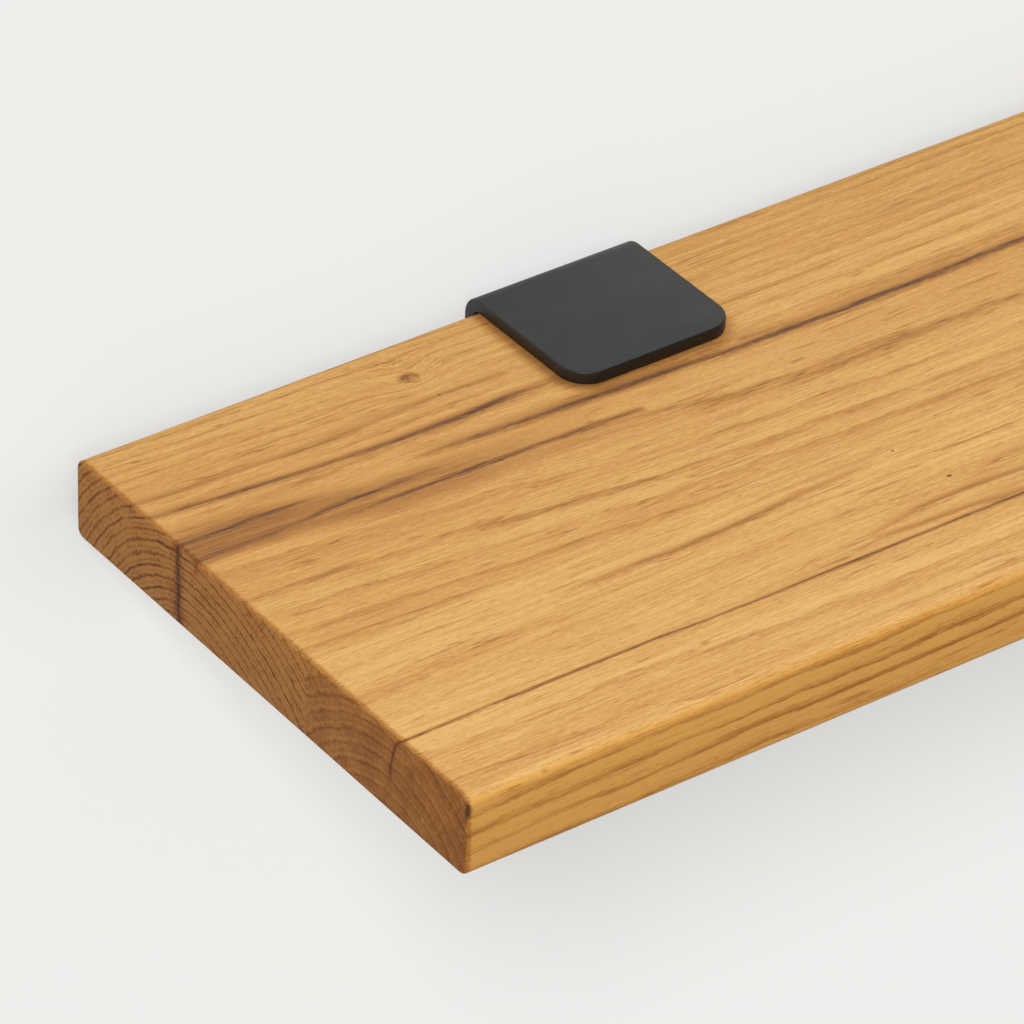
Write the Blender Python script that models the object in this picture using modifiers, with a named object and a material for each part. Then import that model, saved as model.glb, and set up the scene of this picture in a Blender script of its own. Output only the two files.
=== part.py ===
"""Wall shelf: an edge-glued oak board held by two folded steel clamp brackets.

Metres, +Z up. X runs along the board, the wall is the plane Y = 0 and the front looks towards -Y.
X = 0 is the middle of the board's length and Z = 0 is the line of the wall screws.
"""

import math

import bmesh
import bpy
from mathutils import Vector

MM = 0.001

# Fits
CONTACT_GAP = 0.3 * MM
GLUE_LINE = 0.1 * MM

# Board
BOARD_LENGTH = 800.0 * MM
BOARD_THICKNESS = 25.0 * MM
REAR_STAVE_WIDTH = 109.0 * MM
FRONT_STAVE_WIDTH = 71.0 * MM
LONG_EDGE_RADIUS = 3.0 * MM
END_ARRIS_RADIUS = 0.8 * MM

# Folded bracket
SHEET = 4.0 * MM
BRACKET_WIDTH = 55.0 * MM
BRACKET_DEPTH = 53.0 * MM
BRACKET_FROM_END = 158.0 * MM
CORNER_RADIUS = 9.0 * MM
SHEET_EDGE_RADIUS = 0.5 * MM

# Wall fixing
WALL_SCREW_DROP = 14.0 * MM
WALL_SCREW_FROM_SIDE = 10.5 * MM
WALL_SCREW_DIAMETER = 4.5 * MM
WALL_SCREW_LENGTH = 50.0 * MM
WALL_SCREW_POINT = 6.0 * MM
WALL_SCREW_HEAD_DIAMETER = 9.0 * MM
WALL_SCREW_RIM = 0.5 * MM
CROSS_RECESS_SPAN = 5.0 * MM
CROSS_RECESS_WIDTH = 1.3 * MM
CROSS_RECESS_DEPTH = 1.8 * MM
PLUG_WALL = 1.45 * MM
PLUG_LENGTH = 40.0 * MM
PLUG_SET_BACK = 2.5 * MM
PLUG_COLLAR = 8.0 * MM
PLUG_RIB_DEPTH = 0.5 * MM
PLUG_RIB_PITCH = 6.0 * MM
PLUG_SLOT_WIDTH = 1.2 * MM

# Clamp
CLAMP_FROM_WALL = 29.0 * MM
CLAMP_TRAVEL = 14.0 * MM
STOP_CLEARANCE = 0.5 * MM
PLATE_DIAMETER = 32.0 * MM
PLATE_THICKNESS = 5.0 * MM
PLATE_CHAMFER = 0.8 * MM
FACING_INSET = 1.0 * MM
FACING_THICKNESS = 2.0 * MM
FACING_EDGE_RADIUS = 0.6 * MM
THREAD_DIAMETER = 7.4 * MM
THREAD_CHAMFER = 0.6 * MM
TIP_SHOULDER = 1.0 * MM
TIP_CAP = 0.6 * MM
GROOVE_DEPTH = 0.7 * MM
CLIP_REACH = 1.9 * MM
CLIP_THICKNESS = 1.0 * MM
CLIP_CLEARANCE = 1.9 * MM
CLIP_MOUTH_DEGREES = 80.0
HEAD_OVERHANG = 2.8 * MM
HEAD_HEIGHT = 8.0 * MM
HEAD_CHAMFER = 0.6 * MM
HEAD_STANDOFF = 6.0 * MM
SOCKET_ACROSS_FLATS = 6.0 * MM
SOCKET_DEPTH = 4.0 * MM
NUT_WALL = 2.5 * MM
NUT_HEIGHT = 6.5 * MM
NUT_COLLAR_WALL = 1.2 * MM
NUT_COLLAR_HEIGHT = 1.5 * MM

# Facets, and how far a cutter runs past what it cuts
ROUND_STEPS = 32
SMALL_ROUND_STEPS = 24
PLUG_STEPS = 16
BEND_STEPS = 8
CORNER_STEPS = 8
LONG_EDGE_STEPS = 4
SMALL_EDGE_STEPS = 2
HEXAGON = 6
SMOOTH_ANGLE = math.radians(35)
WELD_DISTANCE = 0.001 * MM
CUT_MARGIN = 2.0 * MM

# Levels and lines that the sizes above lead to
STAVES = (("rear_stave", REAR_STAVE_WIDTH), ("front_stave", FRONT_STAVE_WIDTH))
BOARD_DEPTH = sum(width for _, width in STAVES)
BOARD_REAR_Y = -(SHEET + CONTACT_GAP)
BOARD_BOTTOM_Z = WALL_SCREW_DROP
BOARD_TOP_Z = BOARD_BOTTOM_Z + BOARD_THICKNESS
BEND_INNER_RADIUS = LONG_EDGE_RADIUS
BEND_OUTER_RADIUS = BEND_INNER_RADIUS + SHEET
TAB_TOP_Z = BOARD_TOP_Z + CONTACT_GAP + SHEET
FACING_TOP_Z = BOARD_BOTTOM_Z - CONTACT_GAP
PLATE_TOP_Z = FACING_TOP_Z - FACING_THICKNESS - CONTACT_GAP
PLATE_BOTTOM_Z = PLATE_TOP_Z - PLATE_THICKNESS
NUT_TOP_Z = PLATE_BOTTOM_Z - CLAMP_TRAVEL - STOP_CLEARANCE
NUT_BOTTOM_Z = NUT_TOP_Z - NUT_HEIGHT
ARM_TOP_Z = NUT_BOTTOM_Z - CONTACT_GAP
ARM_BOTTOM_Z = ARM_TOP_Z - SHEET
HEAD_TOP_Z = ARM_BOTTOM_Z - HEAD_STANDOFF
BRACKET_X = BOARD_LENGTH / 2 - BRACKET_FROM_END
CLAMP_AXIS = Vector((0.0, -CLAMP_FROM_WALL, 0.0))
WALL_SCREW_X = BRACKET_WIDTH / 2 - WALL_SCREW_FROM_SIDE
TOP_TO_FRONT = (math.radians(90), 0.0, 0.0)
MOUTH_TO_WALL = (0.0, 0.0, math.radians(90))
TIP_RADIUS = THREAD_DIAMETER / 2 - TIP_SHOULDER
GROOVE_RADIUS = TIP_RADIUS - GROOVE_DEPTH
CLIP_RADIUS = TIP_RADIUS + CLIP_REACH
COUNTERBORE_FLOOR_Z = PLATE_TOP_Z - CLIP_THICKNESS - TIP_CAP - 3 * CONTACT_GAP
CLIP_BOTTOM_Z = COUNTERBORE_FLOOR_Z + CONTACT_GAP
CLIP_TOP_Z = CLIP_BOTTOM_Z + CLIP_THICKNESS
NUT_BORE = THREAD_DIAMETER + 2 * CONTACT_GAP
NUT_COLLAR_DIAMETER = NUT_BORE + 2 * NUT_COLLAR_WALL
PLUG_BORE_RADIUS = WALL_SCREW_DIAMETER / 2 + CONTACT_GAP

# Colours are linear, taken from the photo
FINISHES = {
    "oak": ((0.55, 0.31, 0.10), 0.5, 0.0),
    "black_coat": ((0.045, 0.045, 0.043), 0.55, 0.0),
    "black_steel": ((0.05, 0.05, 0.05), 0.35, 1.0),
    "zinc_steel": ((0.55, 0.56, 0.57), 0.3, 1.0),
    "rubber": ((0.03, 0.03, 0.03), 0.8, 0.0),
    "grey_plastic": ((0.35, 0.36, 0.37), 0.5, 0.0),
}


def clear_scene():
    for obj in list(bpy.data.objects):
        bpy.data.objects.remove(obj, do_unlink=True)


def new_collection(name):
    collection = bpy.data.collections.new(name)
    bpy.context.scene.collection.children.link(collection)
    return collection


def new_material(name, colour, roughness, metallic):
    finish = bpy.data.materials.new(name)
    finish.use_nodes = True
    shader = finish.node_tree.nodes["Principled BSDF"]
    shader.inputs["Base Color"].default_value = (*colour, 1.0)
    shader.inputs["Roughness"].default_value = roughness
    shader.inputs["Metallic"].default_value = metallic
    return finish


class Workshop:
    """Holds the two collections and the finishes, and makes the basic shapes."""

    def __init__(self):
        self.parts = new_collection("bracket_wall_shelf")
        self.cutters = new_collection("cutters")
        self.finishes = {name: new_material(name, *values) for name, values in FINISHES.items()}

    def add(self, name, mesh, finish=None, place=(0.0, 0.0, 0.0), parent=None):
        """Puts a mesh in the scene: a part if it has a finish, otherwise a cutter."""
        obj = bpy.data.objects.new(name, mesh)
        obj.location = place
        obj.parent = parent
        if finish:
            obj.data.materials.append(self.finishes[finish])
            self.parts.objects.link(obj)
        else:
            obj.hide_render = True
            obj.display_type = "WIRE"
            self.cutters.objects.link(obj)
        return obj

    def anchor(self, name, place):
        """An empty that carries the pieces of one bracket."""
        empty = bpy.data.objects.new(name, None)
        empty.location = place
        self.parts.objects.link(empty)
        return empty

    def block(self, name, low, high, **where):
        """A box between two corners."""
        shape = bmesh.new()
        bmesh.ops.create_cube(shape, size=1.0)
        low, high = Vector(low), Vector(high)
        bmesh.ops.scale(shape, vec=high - low, verts=shape.verts)
        bmesh.ops.translate(shape, vec=(low + high) / 2, verts=shape.verts)
        return self.add(name, finished_mesh(name, shape), **where)

    def prism(self, name, diameter, bottom, top, sides=ROUND_STEPS, **where):
        """An upright cylinder, or a hexagon where sides is 6."""
        shape = bmesh.new()
        radius = diameter / 2
        bmesh.ops.create_cone(
            shape, cap_ends=True, segments=sides, radius1=radius, radius2=radius, depth=top - bottom
        )
        bmesh.ops.translate(shape, vec=(0.0, 0.0, (top + bottom) / 2), verts=shape.verts)
        return self.add(name, finished_mesh(name, shape), **where)

    def turned(self, name, profile, closed=False, steps=ROUND_STEPS, **where):
        """A shape turned about Z from (radius, height) points that run down its outer side."""
        mesh = bpy.data.meshes.new(name)
        count = len(profile)
        edges = [(i, i + 1) for i in range(count - 1)]
        if closed:
            edges.append((count - 1, 0))
        mesh.from_pydata([(radius, 0.0, height) for radius, height in profile], edges, [])
        obj = self.add(name, mesh, **where)
        screw = obj.modifiers.new("turn", "SCREW")
        screw.axis = "Z"
        screw.steps = steps
        screw.render_steps = steps
        screw.use_merge_vertices = True
        screw.merge_threshold = WELD_DISTANCE
        screw.use_smooth_shade = True
        return obj

    def outline(self, name, points, bottom, top, **where):
        """A flat outline in plan, given its height between two levels."""
        curve = bpy.data.curves.new(name, "CURVE")
        curve.dimensions = "2D"
        curve.fill_mode = "BOTH"
        curve.extrude = (top - bottom) / 2
        spline = curve.splines.new("POLY")
        spline.points.add(len(points) - 1)
        for point, (x, y) in zip(spline.points, points):
            point.co = (x, y, 0.0, 1.0)
        spline.use_cyclic_u = True
        drawn = bpy.data.objects.new(name + "_drawn", curve)
        bpy.context.scene.collection.objects.link(drawn)
        graph = bpy.context.evaluated_depsgraph_get()
        shape = bmesh.new()
        shape.from_mesh(bpy.data.meshes.new_from_object(drawn.evaluated_get(graph)))
        bpy.data.objects.remove(drawn, do_unlink=True)
        bmesh.ops.remove_doubles(shape, verts=shape.verts, dist=WELD_DISTANCE)
        bmesh.ops.recalc_face_normals(shape, faces=shape.faces)
        bmesh.ops.translate(shape, vec=(0.0, 0.0, (top + bottom) / 2), verts=shape.verts)
        return self.add(name, finished_mesh(name, shape), **where)


def finished_mesh(name, shape):
    """Turns a bmesh into a mesh that is smooth across its small angles."""
    mesh = bpy.data.meshes.new(name)
    shape.to_mesh(mesh)
    shape.free()
    mesh.shade_smooth()
    mesh.set_sharp_from_angle(angle=SMOOTH_ANGLE)
    return mesh


def combine(obj, other, operation):
    boolean = obj.modifiers.new(f"{operation.lower()} {other.name}", "BOOLEAN")
    boolean.operation = operation
    boolean.object = other


def soften(obj, radius, steps):
    bevel = obj.modifiers.new("soft edges", "BEVEL")
    bevel.width = radius
    bevel.segments = steps
    bevel.limit_method = "ANGLE"
    bevel.angle_limit = SMOOTH_ANGLE


def arc(centre, radius, start, end, steps):
    """Points along an arc, its angles in degrees."""
    angles = [math.radians(start + (end - start) * i / steps) for i in range(steps + 1)]
    return [(centre[0] + radius * math.cos(a), centre[1] + radius * math.sin(a)) for a in angles]


def round_over(shape, edges, radius, steps):
    bmesh.ops.bevel(shape, geom=edges, offset=radius, segments=steps, profile=0.5, affect="EDGES")


def rounded_board(shop):
    """The whole glued board: long edges rounded over, end arrises only eased."""
    front_y = BOARD_REAR_Y - BOARD_DEPTH
    half = BOARD_LENGTH / 2
    board = shop.block(
        "board_blank", (-half, front_y, BOARD_BOTTOM_Z), (half, BOARD_REAR_Y, BOARD_TOP_Z)
    )
    shape = bmesh.new()
    shape.from_mesh(board.data)
    long_edges = [e for e in shape.edges if abs(e.verts[0].co.x - e.verts[1].co.x) > half]
    round_over(shape, long_edges, LONG_EDGE_RADIUS, LONG_EDGE_STEPS)
    end_edges = [e for e in shape.edges if abs(e.verts[0].co.x - e.verts[1].co.x) < WELD_DISTANCE]
    round_over(shape, end_edges, END_ARRIS_RADIUS, SMALL_EDGE_STEPS)
    shape.to_mesh(board.data)
    shape.free()
    return board


def build_staves(shop):
    board = rounded_board(shop)
    half = BOARD_LENGTH / 2 + CUT_MARGIN
    rear_y = BOARD_REAR_Y
    for number, (name, width) in enumerate(STAVES):
        front_y = rear_y - width
        first, last = number == 0, number == len(STAVES) - 1
        stave = shop.block(
            name,
            (-half, front_y - CUT_MARGIN if last else front_y + GLUE_LINE / 2, BOARD_BOTTOM_Z - CUT_MARGIN),
            (half, rear_y + CUT_MARGIN if first else rear_y - GLUE_LINE / 2, BOARD_TOP_Z + CUT_MARGIN),
            finish="oak",
        )
        combine(stave, board, "INTERSECT")
        rear_y = front_y


def folded_strip(shop, name, anchor):
    """The bracket's strip: tab, bend, back plate, bend and arm, as one sheet with its thickness."""
    outer = BEND_OUTER_RADIUS
    top_bend = arc((-outer, TAB_TOP_Z - outer), outer, 90, 0, BEND_STEPS)
    bottom_bend = arc((-outer, ARM_BOTTOM_Z + outer), outer, 0, -90, BEND_STEPS)
    front = -(BRACKET_DEPTH + CUT_MARGIN)
    path = [(front, TAB_TOP_Z), *top_bend, *bottom_bend, (front, ARM_BOTTOM_Z)]
    half = BRACKET_WIDTH / 2
    shape = bmesh.new()
    corners = [shape.verts.new((half, y, z)) for y, z in path]
    edges = [shape.edges.new(pair) for pair in zip(corners, corners[1:])]
    swept = bmesh.ops.extrude_edge_only(shape, edges=edges)["geom"]
    far_side = [v for v in swept if isinstance(v, bmesh.types.BMVert)]
    bmesh.ops.translate(shape, vec=(-BRACKET_WIDTH, 0.0, 0.0), verts=far_side)
    bmesh.ops.recalc_face_normals(shape, faces=shape.faces)
    strip = shop.add(name, finished_mesh(name, shape), finish="black_coat", parent=anchor)
    wall_face = max(strip.data.polygons, key=lambda face: face.center.y)
    sheet = strip.modifiers.new("sheet", "SOLIDIFY")
    sheet.thickness = SHEET
    sheet.offset = -1.0 if wall_face.normal.y > 0 else 1.0
    sheet.use_even_offset = True
    return strip


def bracket_plan(shop, side, anchor):
    """The outline that both ends of the strip are cut to."""
    half = BRACKET_WIDTH / 2
    rear = CUT_MARGIN
    inset = half - CORNER_RADIUS
    front = CORNER_RADIUS - BRACKET_DEPTH
    beside = half + CUT_MARGIN
    points = [
        (-beside, rear),
        (-beside, front),
        *arc((-inset, front), CORNER_RADIUS, 180, 270, CORNER_STEPS),
        *arc((inset, front), CORNER_RADIUS, 270, 360, CORNER_STEPS),
        (beside, front),
        (beside, rear),
    ]
    return shop.outline(
        f"{side}_bracket_plan", points, ARM_BOTTOM_Z - CUT_MARGIN, TAB_TOP_Z + CUT_MARGIN, parent=anchor
    )


def countersunk_section(clearance, head_top, point):
    """Half section of a countersunk head on its shank, down to a level, grown by a clearance."""
    head = WALL_SCREW_HEAD_DIAMETER / 2 + clearance
    shank = WALL_SCREW_DIAMETER / 2 + clearance
    rim_bottom = SHEET - CONTACT_GAP - WALL_SCREW_RIM
    cone_bottom = rim_bottom - (head - shank)
    return [(0.0, head_top), (head, head_top), (head, rim_bottom), (shank, cone_bottom), (shank, point)]


def wall_screw_places():
    return (("a", -WALL_SCREW_X), ("b", WALL_SCREW_X))


def lay_along_wall_axis(obj):
    """Turns a piece made along Z so that its top looks out from the wall, towards -Y."""
    obj.rotation_euler = TOP_TO_FRONT


def build_bracket(shop, side, anchor):
    bracket = folded_strip(shop, f"{side}_bracket", anchor)
    combine(bracket, bracket_plan(shop, side, anchor), "INTERSECT")
    soften(bracket, SHEET_EDGE_RADIUS, SMALL_EDGE_STEPS)
    nut_hole = shop.prism(
        f"{side}_nut_hole",
        NUT_COLLAR_DIAMETER + 2 * CONTACT_GAP,
        ARM_BOTTOM_Z - CUT_MARGIN,
        ARM_TOP_Z + CUT_MARGIN,
        place=CLAMP_AXIS,
        parent=anchor,
    )
    combine(bracket, nut_hole, "DIFFERENCE")
    section = countersunk_section(CONTACT_GAP, SHEET + CUT_MARGIN, -CUT_MARGIN)
    for letter, x in wall_screw_places():
        hole = shop.turned(
            f"{side}_screw_hole_{letter}",
            [*section, (0.0, -CUT_MARGIN)],
            place=(x, 0.0, 0.0),
            parent=anchor,
        )
        lay_along_wall_axis(hole)
        combine(bracket, hole, "DIFFERENCE")


def build_wall_fixings(shop, side, anchor):
    head_top = SHEET - CONTACT_GAP
    tip = head_top - WALL_SCREW_LENGTH
    section = countersunk_section(0.0, head_top, tip + WALL_SCREW_POINT)
    for letter, x in wall_screw_places():
        screw = shop.turned(
            f"{side}_wall_screw_{letter}",
            [*section, (0.0, tip)],
            steps=SMALL_ROUND_STEPS,
            finish="zinc_steel",
            place=(x, 0.0, 0.0),
            parent=anchor,
        )
        lay_along_wall_axis(screw)
        for turn, (wide, narrow) in enumerate(((1, 0), (0, 1))):
            span = Vector((wide, narrow, 0)) * CROSS_RECESS_SPAN / 2
            width = Vector((narrow, wide, 0)) * CROSS_RECESS_WIDTH / 2
            floor = Vector((0, 0, head_top - CROSS_RECESS_DEPTH))
            rim = Vector((0, 0, head_top + CUT_MARGIN))
            recess = shop.block(
                f"{side}_recess_{letter}_{turn}",
                floor - span - width,
                rim + span + width,
                place=(x, 0.0, 0.0),
                parent=anchor,
            )
            lay_along_wall_axis(recess)
            combine(screw, recess, "DIFFERENCE")
        build_plug(shop, f"{side}_wall_plug_{letter}", x, anchor)


def build_plug(shop, name, x, anchor):
    """A ribbed sleeve round the screw, split crosswise from its far end up to its collar."""
    outer = PLUG_BORE_RADIUS + PLUG_WALL
    near = -PLUG_SET_BACK
    far = near - PLUG_LENGTH
    ribs = int((PLUG_LENGTH - PLUG_COLLAR) / PLUG_RIB_PITCH)
    profile = [(outer, near), (outer, near - PLUG_COLLAR)]
    for rib in range(ribs):
        start = near - PLUG_COLLAR - rib * PLUG_RIB_PITCH
        profile.append((outer - PLUG_RIB_DEPTH, start - PLUG_RIB_DEPTH))
        profile.append((outer, start - PLUG_RIB_PITCH))
    profile += [(outer - PLUG_RIB_DEPTH, far), (PLUG_BORE_RADIUS, far), (PLUG_BORE_RADIUS, near)]
    plug = shop.turned(
        name,
        profile,
        closed=True,
        steps=PLUG_STEPS,
        finish="grey_plastic",
        place=(x, 0.0, 0.0),
        parent=anchor,
    )
    lay_along_wall_axis(plug)
    half, slot = outer + CUT_MARGIN, PLUG_SLOT_WIDTH / 2
    for turn, (reach_x, reach_y) in enumerate(((half, slot), (slot, half))):
        split = shop.block(
            f"{name}_split_{turn}",
            (-reach_x, -reach_y, far - CUT_MARGIN),
            (reach_x, reach_y, near - PLUG_COLLAR),
            place=(x, 0.0, 0.0),
            parent=anchor,
        )
        lay_along_wall_axis(split)
        combine(plug, split, "DIFFERENCE")


def across_corners(across_flats):
    return across_flats / math.cos(math.radians(30))


def build_weld_nut(shop, side, anchor):
    nut = shop.prism(
        f"{side}_weld_nut",
        across_corners(NUT_BORE + 2 * NUT_WALL),
        NUT_BOTTOM_Z,
        NUT_TOP_Z,
        sides=HEXAGON,
        finish="zinc_steel",
        place=CLAMP_AXIS,
        parent=anchor,
    )
    collar = shop.prism(
        f"{side}_nut_collar",
        NUT_COLLAR_DIAMETER,
        NUT_BOTTOM_Z - NUT_COLLAR_HEIGHT,
        NUT_BOTTOM_Z + NUT_COLLAR_HEIGHT,
        place=CLAMP_AXIS,
        parent=anchor,
    )
    thread = shop.prism(
        f"{side}_nut_thread",
        NUT_BORE,
        NUT_BOTTOM_Z - NUT_COLLAR_HEIGHT - CUT_MARGIN,
        NUT_TOP_Z + CUT_MARGIN,
        place=CLAMP_AXIS,
        parent=anchor,
    )
    combine(nut, collar, "UNION")
    combine(nut, thread, "DIFFERENCE")


def build_pressure_plate(shop, side, anchor):
    plate = PLATE_DIAMETER / 2
    bore = TIP_RADIUS + CONTACT_GAP
    counterbore = CLIP_RADIUS + CLIP_CLEARANCE
    shop.turned(
        f"{side}_pressure_plate",
        [
            (plate, PLATE_TOP_Z),
            (plate, PLATE_BOTTOM_Z + PLATE_CHAMFER),
            (plate - PLATE_CHAMFER, PLATE_BOTTOM_Z),
            (bore, PLATE_BOTTOM_Z),
            (bore, COUNTERBORE_FLOOR_Z),
            (counterbore, COUNTERBORE_FLOOR_Z),
            (counterbore, PLATE_TOP_Z),
        ],
        closed=True,
        finish="zinc_steel",
        place=CLAMP_AXIS,
        parent=anchor,
    )
    facing = plate - FACING_INSET
    bottom = FACING_TOP_Z - FACING_THICKNESS
    shop.turned(
        f"{side}_plate_facing",
        [
            (0.0, FACING_TOP_Z),
            (facing - FACING_EDGE_RADIUS, FACING_TOP_Z),
            (facing, FACING_TOP_Z - FACING_EDGE_RADIUS),
            (facing, bottom),
            (0.0, bottom),
        ],
        finish="rubber",
        place=CLAMP_AXIS,
        parent=anchor,
    )


def build_clamp_screw(shop, side, anchor):
    thread = THREAD_DIAMETER / 2
    head = thread + HEAD_OVERHANG
    head_bottom = HEAD_TOP_Z - HEAD_HEIGHT
    shoulder = PLATE_BOTTOM_Z - CONTACT_GAP
    groove_top = CLIP_TOP_Z + CONTACT_GAP
    groove_bottom = CLIP_BOTTOM_Z - CONTACT_GAP
    screw = shop.turned(
        f"{side}_clamp_screw",
        [
            (0.0, groove_top + TIP_CAP),
            (TIP_RADIUS, groove_top + TIP_CAP),
            (TIP_RADIUS, groove_top),
            (GROOVE_RADIUS, groove_top),
            (GROOVE_RADIUS, groove_bottom),
            (TIP_RADIUS, groove_bottom),
            (TIP_RADIUS, shoulder),
            (thread - THREAD_CHAMFER, shoulder),
            (thread, shoulder - THREAD_CHAMFER),
            (thread, HEAD_TOP_Z),
            (head, HEAD_TOP_Z),
            (head, head_bottom + HEAD_CHAMFER),
            (head - HEAD_CHAMFER, head_bottom),
            (0.0, head_bottom),
        ],
        finish="black_steel",
        place=CLAMP_AXIS,
        parent=anchor,
    )
    socket = shop.prism(
        f"{side}_hex_socket",
        across_corners(SOCKET_ACROSS_FLATS),
        head_bottom - CUT_MARGIN,
        head_bottom + SOCKET_DEPTH,
        sides=HEXAGON,
        place=CLAMP_AXIS,
        parent=anchor,
    )
    combine(screw, socket, "DIFFERENCE")
    mouth = CLIP_MOUTH_DEGREES / 2
    ring = arc((0.0, 0.0), CLIP_RADIUS, mouth, 360 - mouth, SMALL_ROUND_STEPS)
    ring += arc((0.0, 0.0), GROOVE_RADIUS + CONTACT_GAP, 360 - mouth, mouth, SMALL_ROUND_STEPS)
    clip = shop.outline(
        f"{side}_retaining_clip",
        ring,
        CLIP_BOTTOM_Z,
        CLIP_TOP_Z,
        finish="zinc_steel",
        place=CLAMP_AXIS,
        parent=anchor,
    )
    clip.rotation_euler = MOUTH_TO_WALL


def main():
    clear_scene()
    shop = Workshop()
    build_staves(shop)
    for side, sign in (("left", -1), ("right", 1)):
        anchor = shop.anchor(f"{side}_bracket_anchor", (sign * BRACKET_X, 0.0, 0.0))
        build_bracket(shop, side, anchor)
        build_wall_fixings(shop, side, anchor)
        build_weld_nut(shop, side, anchor)
        build_pressure_plate(shop, side, anchor)
        build_clamp_screw(shop, side, anchor)


main()
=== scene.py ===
"""Dresses the bracket wall shelf: an oiled oak board held at its rear edge by folded steel clamp brackets.

Metres, +Z up. X runs along the board, the wall is the plane Y = 0 and the front looks towards -Y.
"""

import functools
import math
from typing import NamedTuple

import bmesh
import bpy
from mathutils import Matrix, Vector


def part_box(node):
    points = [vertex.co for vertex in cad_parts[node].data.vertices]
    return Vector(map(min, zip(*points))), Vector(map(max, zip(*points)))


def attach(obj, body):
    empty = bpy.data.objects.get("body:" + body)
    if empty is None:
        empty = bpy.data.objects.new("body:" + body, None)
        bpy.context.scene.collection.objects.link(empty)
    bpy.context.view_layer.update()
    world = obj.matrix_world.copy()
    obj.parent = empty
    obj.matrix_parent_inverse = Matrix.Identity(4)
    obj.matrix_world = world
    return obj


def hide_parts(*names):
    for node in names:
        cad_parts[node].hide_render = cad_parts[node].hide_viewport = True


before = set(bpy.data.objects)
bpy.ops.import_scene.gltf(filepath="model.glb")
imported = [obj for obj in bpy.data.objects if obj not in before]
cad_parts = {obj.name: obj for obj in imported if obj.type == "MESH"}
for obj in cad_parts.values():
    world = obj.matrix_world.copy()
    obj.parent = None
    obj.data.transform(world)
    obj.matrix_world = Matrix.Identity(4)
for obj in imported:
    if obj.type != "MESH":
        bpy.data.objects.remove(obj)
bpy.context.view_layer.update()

bl_info = {
    "name": "Bracket wall shelf",
    "version": (1, 0, 0),
    "blender": (4, 5, 0),
    "location": "3D View > Sidebar > Shelf",
    "description": "Builds an oak wall shelf with clamp brackets, wall fixings and a studio stage",
    "category": "Object",
}

MM = 0.001
SMOOTH_ANGLE = math.radians(35)
QUARTER_TURN = math.radians(90)
WELD_DISTANCE = 0.001 * MM
EASE = 0.3 * MM  # usual easing of a turned edge
CLEAR = 1.0 * MM  # how far a cutter reaches past what it cuts
FINE_SIDES = 96
SMALL_SIDES = 40
THREAD_SUNK = 0.15 * MM
THREAD_FOOT = 0.82  # width of a ridge's foot, as a share of the pitch
THREAD_CREST = 0.16  # width of its crest, as a share of the foot

# Boxes of the frame's pieces, from which places and levels are read
REAR_LOW, REAR_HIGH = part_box("rear_stave")
FRONT_LOW, FRONT_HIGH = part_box("front_stave")
BRACKET_LOW, BRACKET_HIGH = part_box("left_bracket")
PLATE_LOW, PLATE_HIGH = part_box("left_pressure_plate")
BRACKET_X = (BRACKET_LOW.x + BRACKET_HIGH.x) / 2
CLAMP_AXIS = Vector((BRACKET_X, (PLATE_LOW.y + PLATE_HIGH.y) / 2, 0.0))
TO_RIGHT = Vector((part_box("right_bracket")[0].x - BRACKET_LOW.x, 0.0, 0.0))
GLUE_Y = (REAR_LOW.y + FRONT_HIGH.y) / 2
NUT_LOW, NUT_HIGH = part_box("left_weld_nut")
SCREW_LOW, SCREW_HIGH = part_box("left_clamp_screw")
CLIP_LOW, CLIP_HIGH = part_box("left_retaining_clip")
FACING_LOW, FACING_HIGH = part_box("left_plate_facing")
WALL_SCREW_LOW, WALL_SCREW_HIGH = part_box("left_wall_screw_a")
PLUG_LOW, PLUG_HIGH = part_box("left_wall_plug_a")
WALL_SCREW_XS = [sum(corner.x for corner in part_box(f"left_wall_screw_{letter}")) / 2 for letter in "ab"]
UP_TO_WALL = (-QUARTER_TURN, 0.0, 0.0)

# The same in millimetres, for the oak's pattern
BOARD_TOP_MM = REAR_HIGH.z / MM
BOARD_END_MM = REAR_HIGH.x / MM
TAB_X_MM = abs(BRACKET_X) / MM
TAB_HALF_MM = (BRACKET_HIGH.x - BRACKET_LOW.x) / 2 / MM
TAB_FRONT_MM = BRACKET_LOW.y / MM
TAB_CORNER_MM = 9.0

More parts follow.
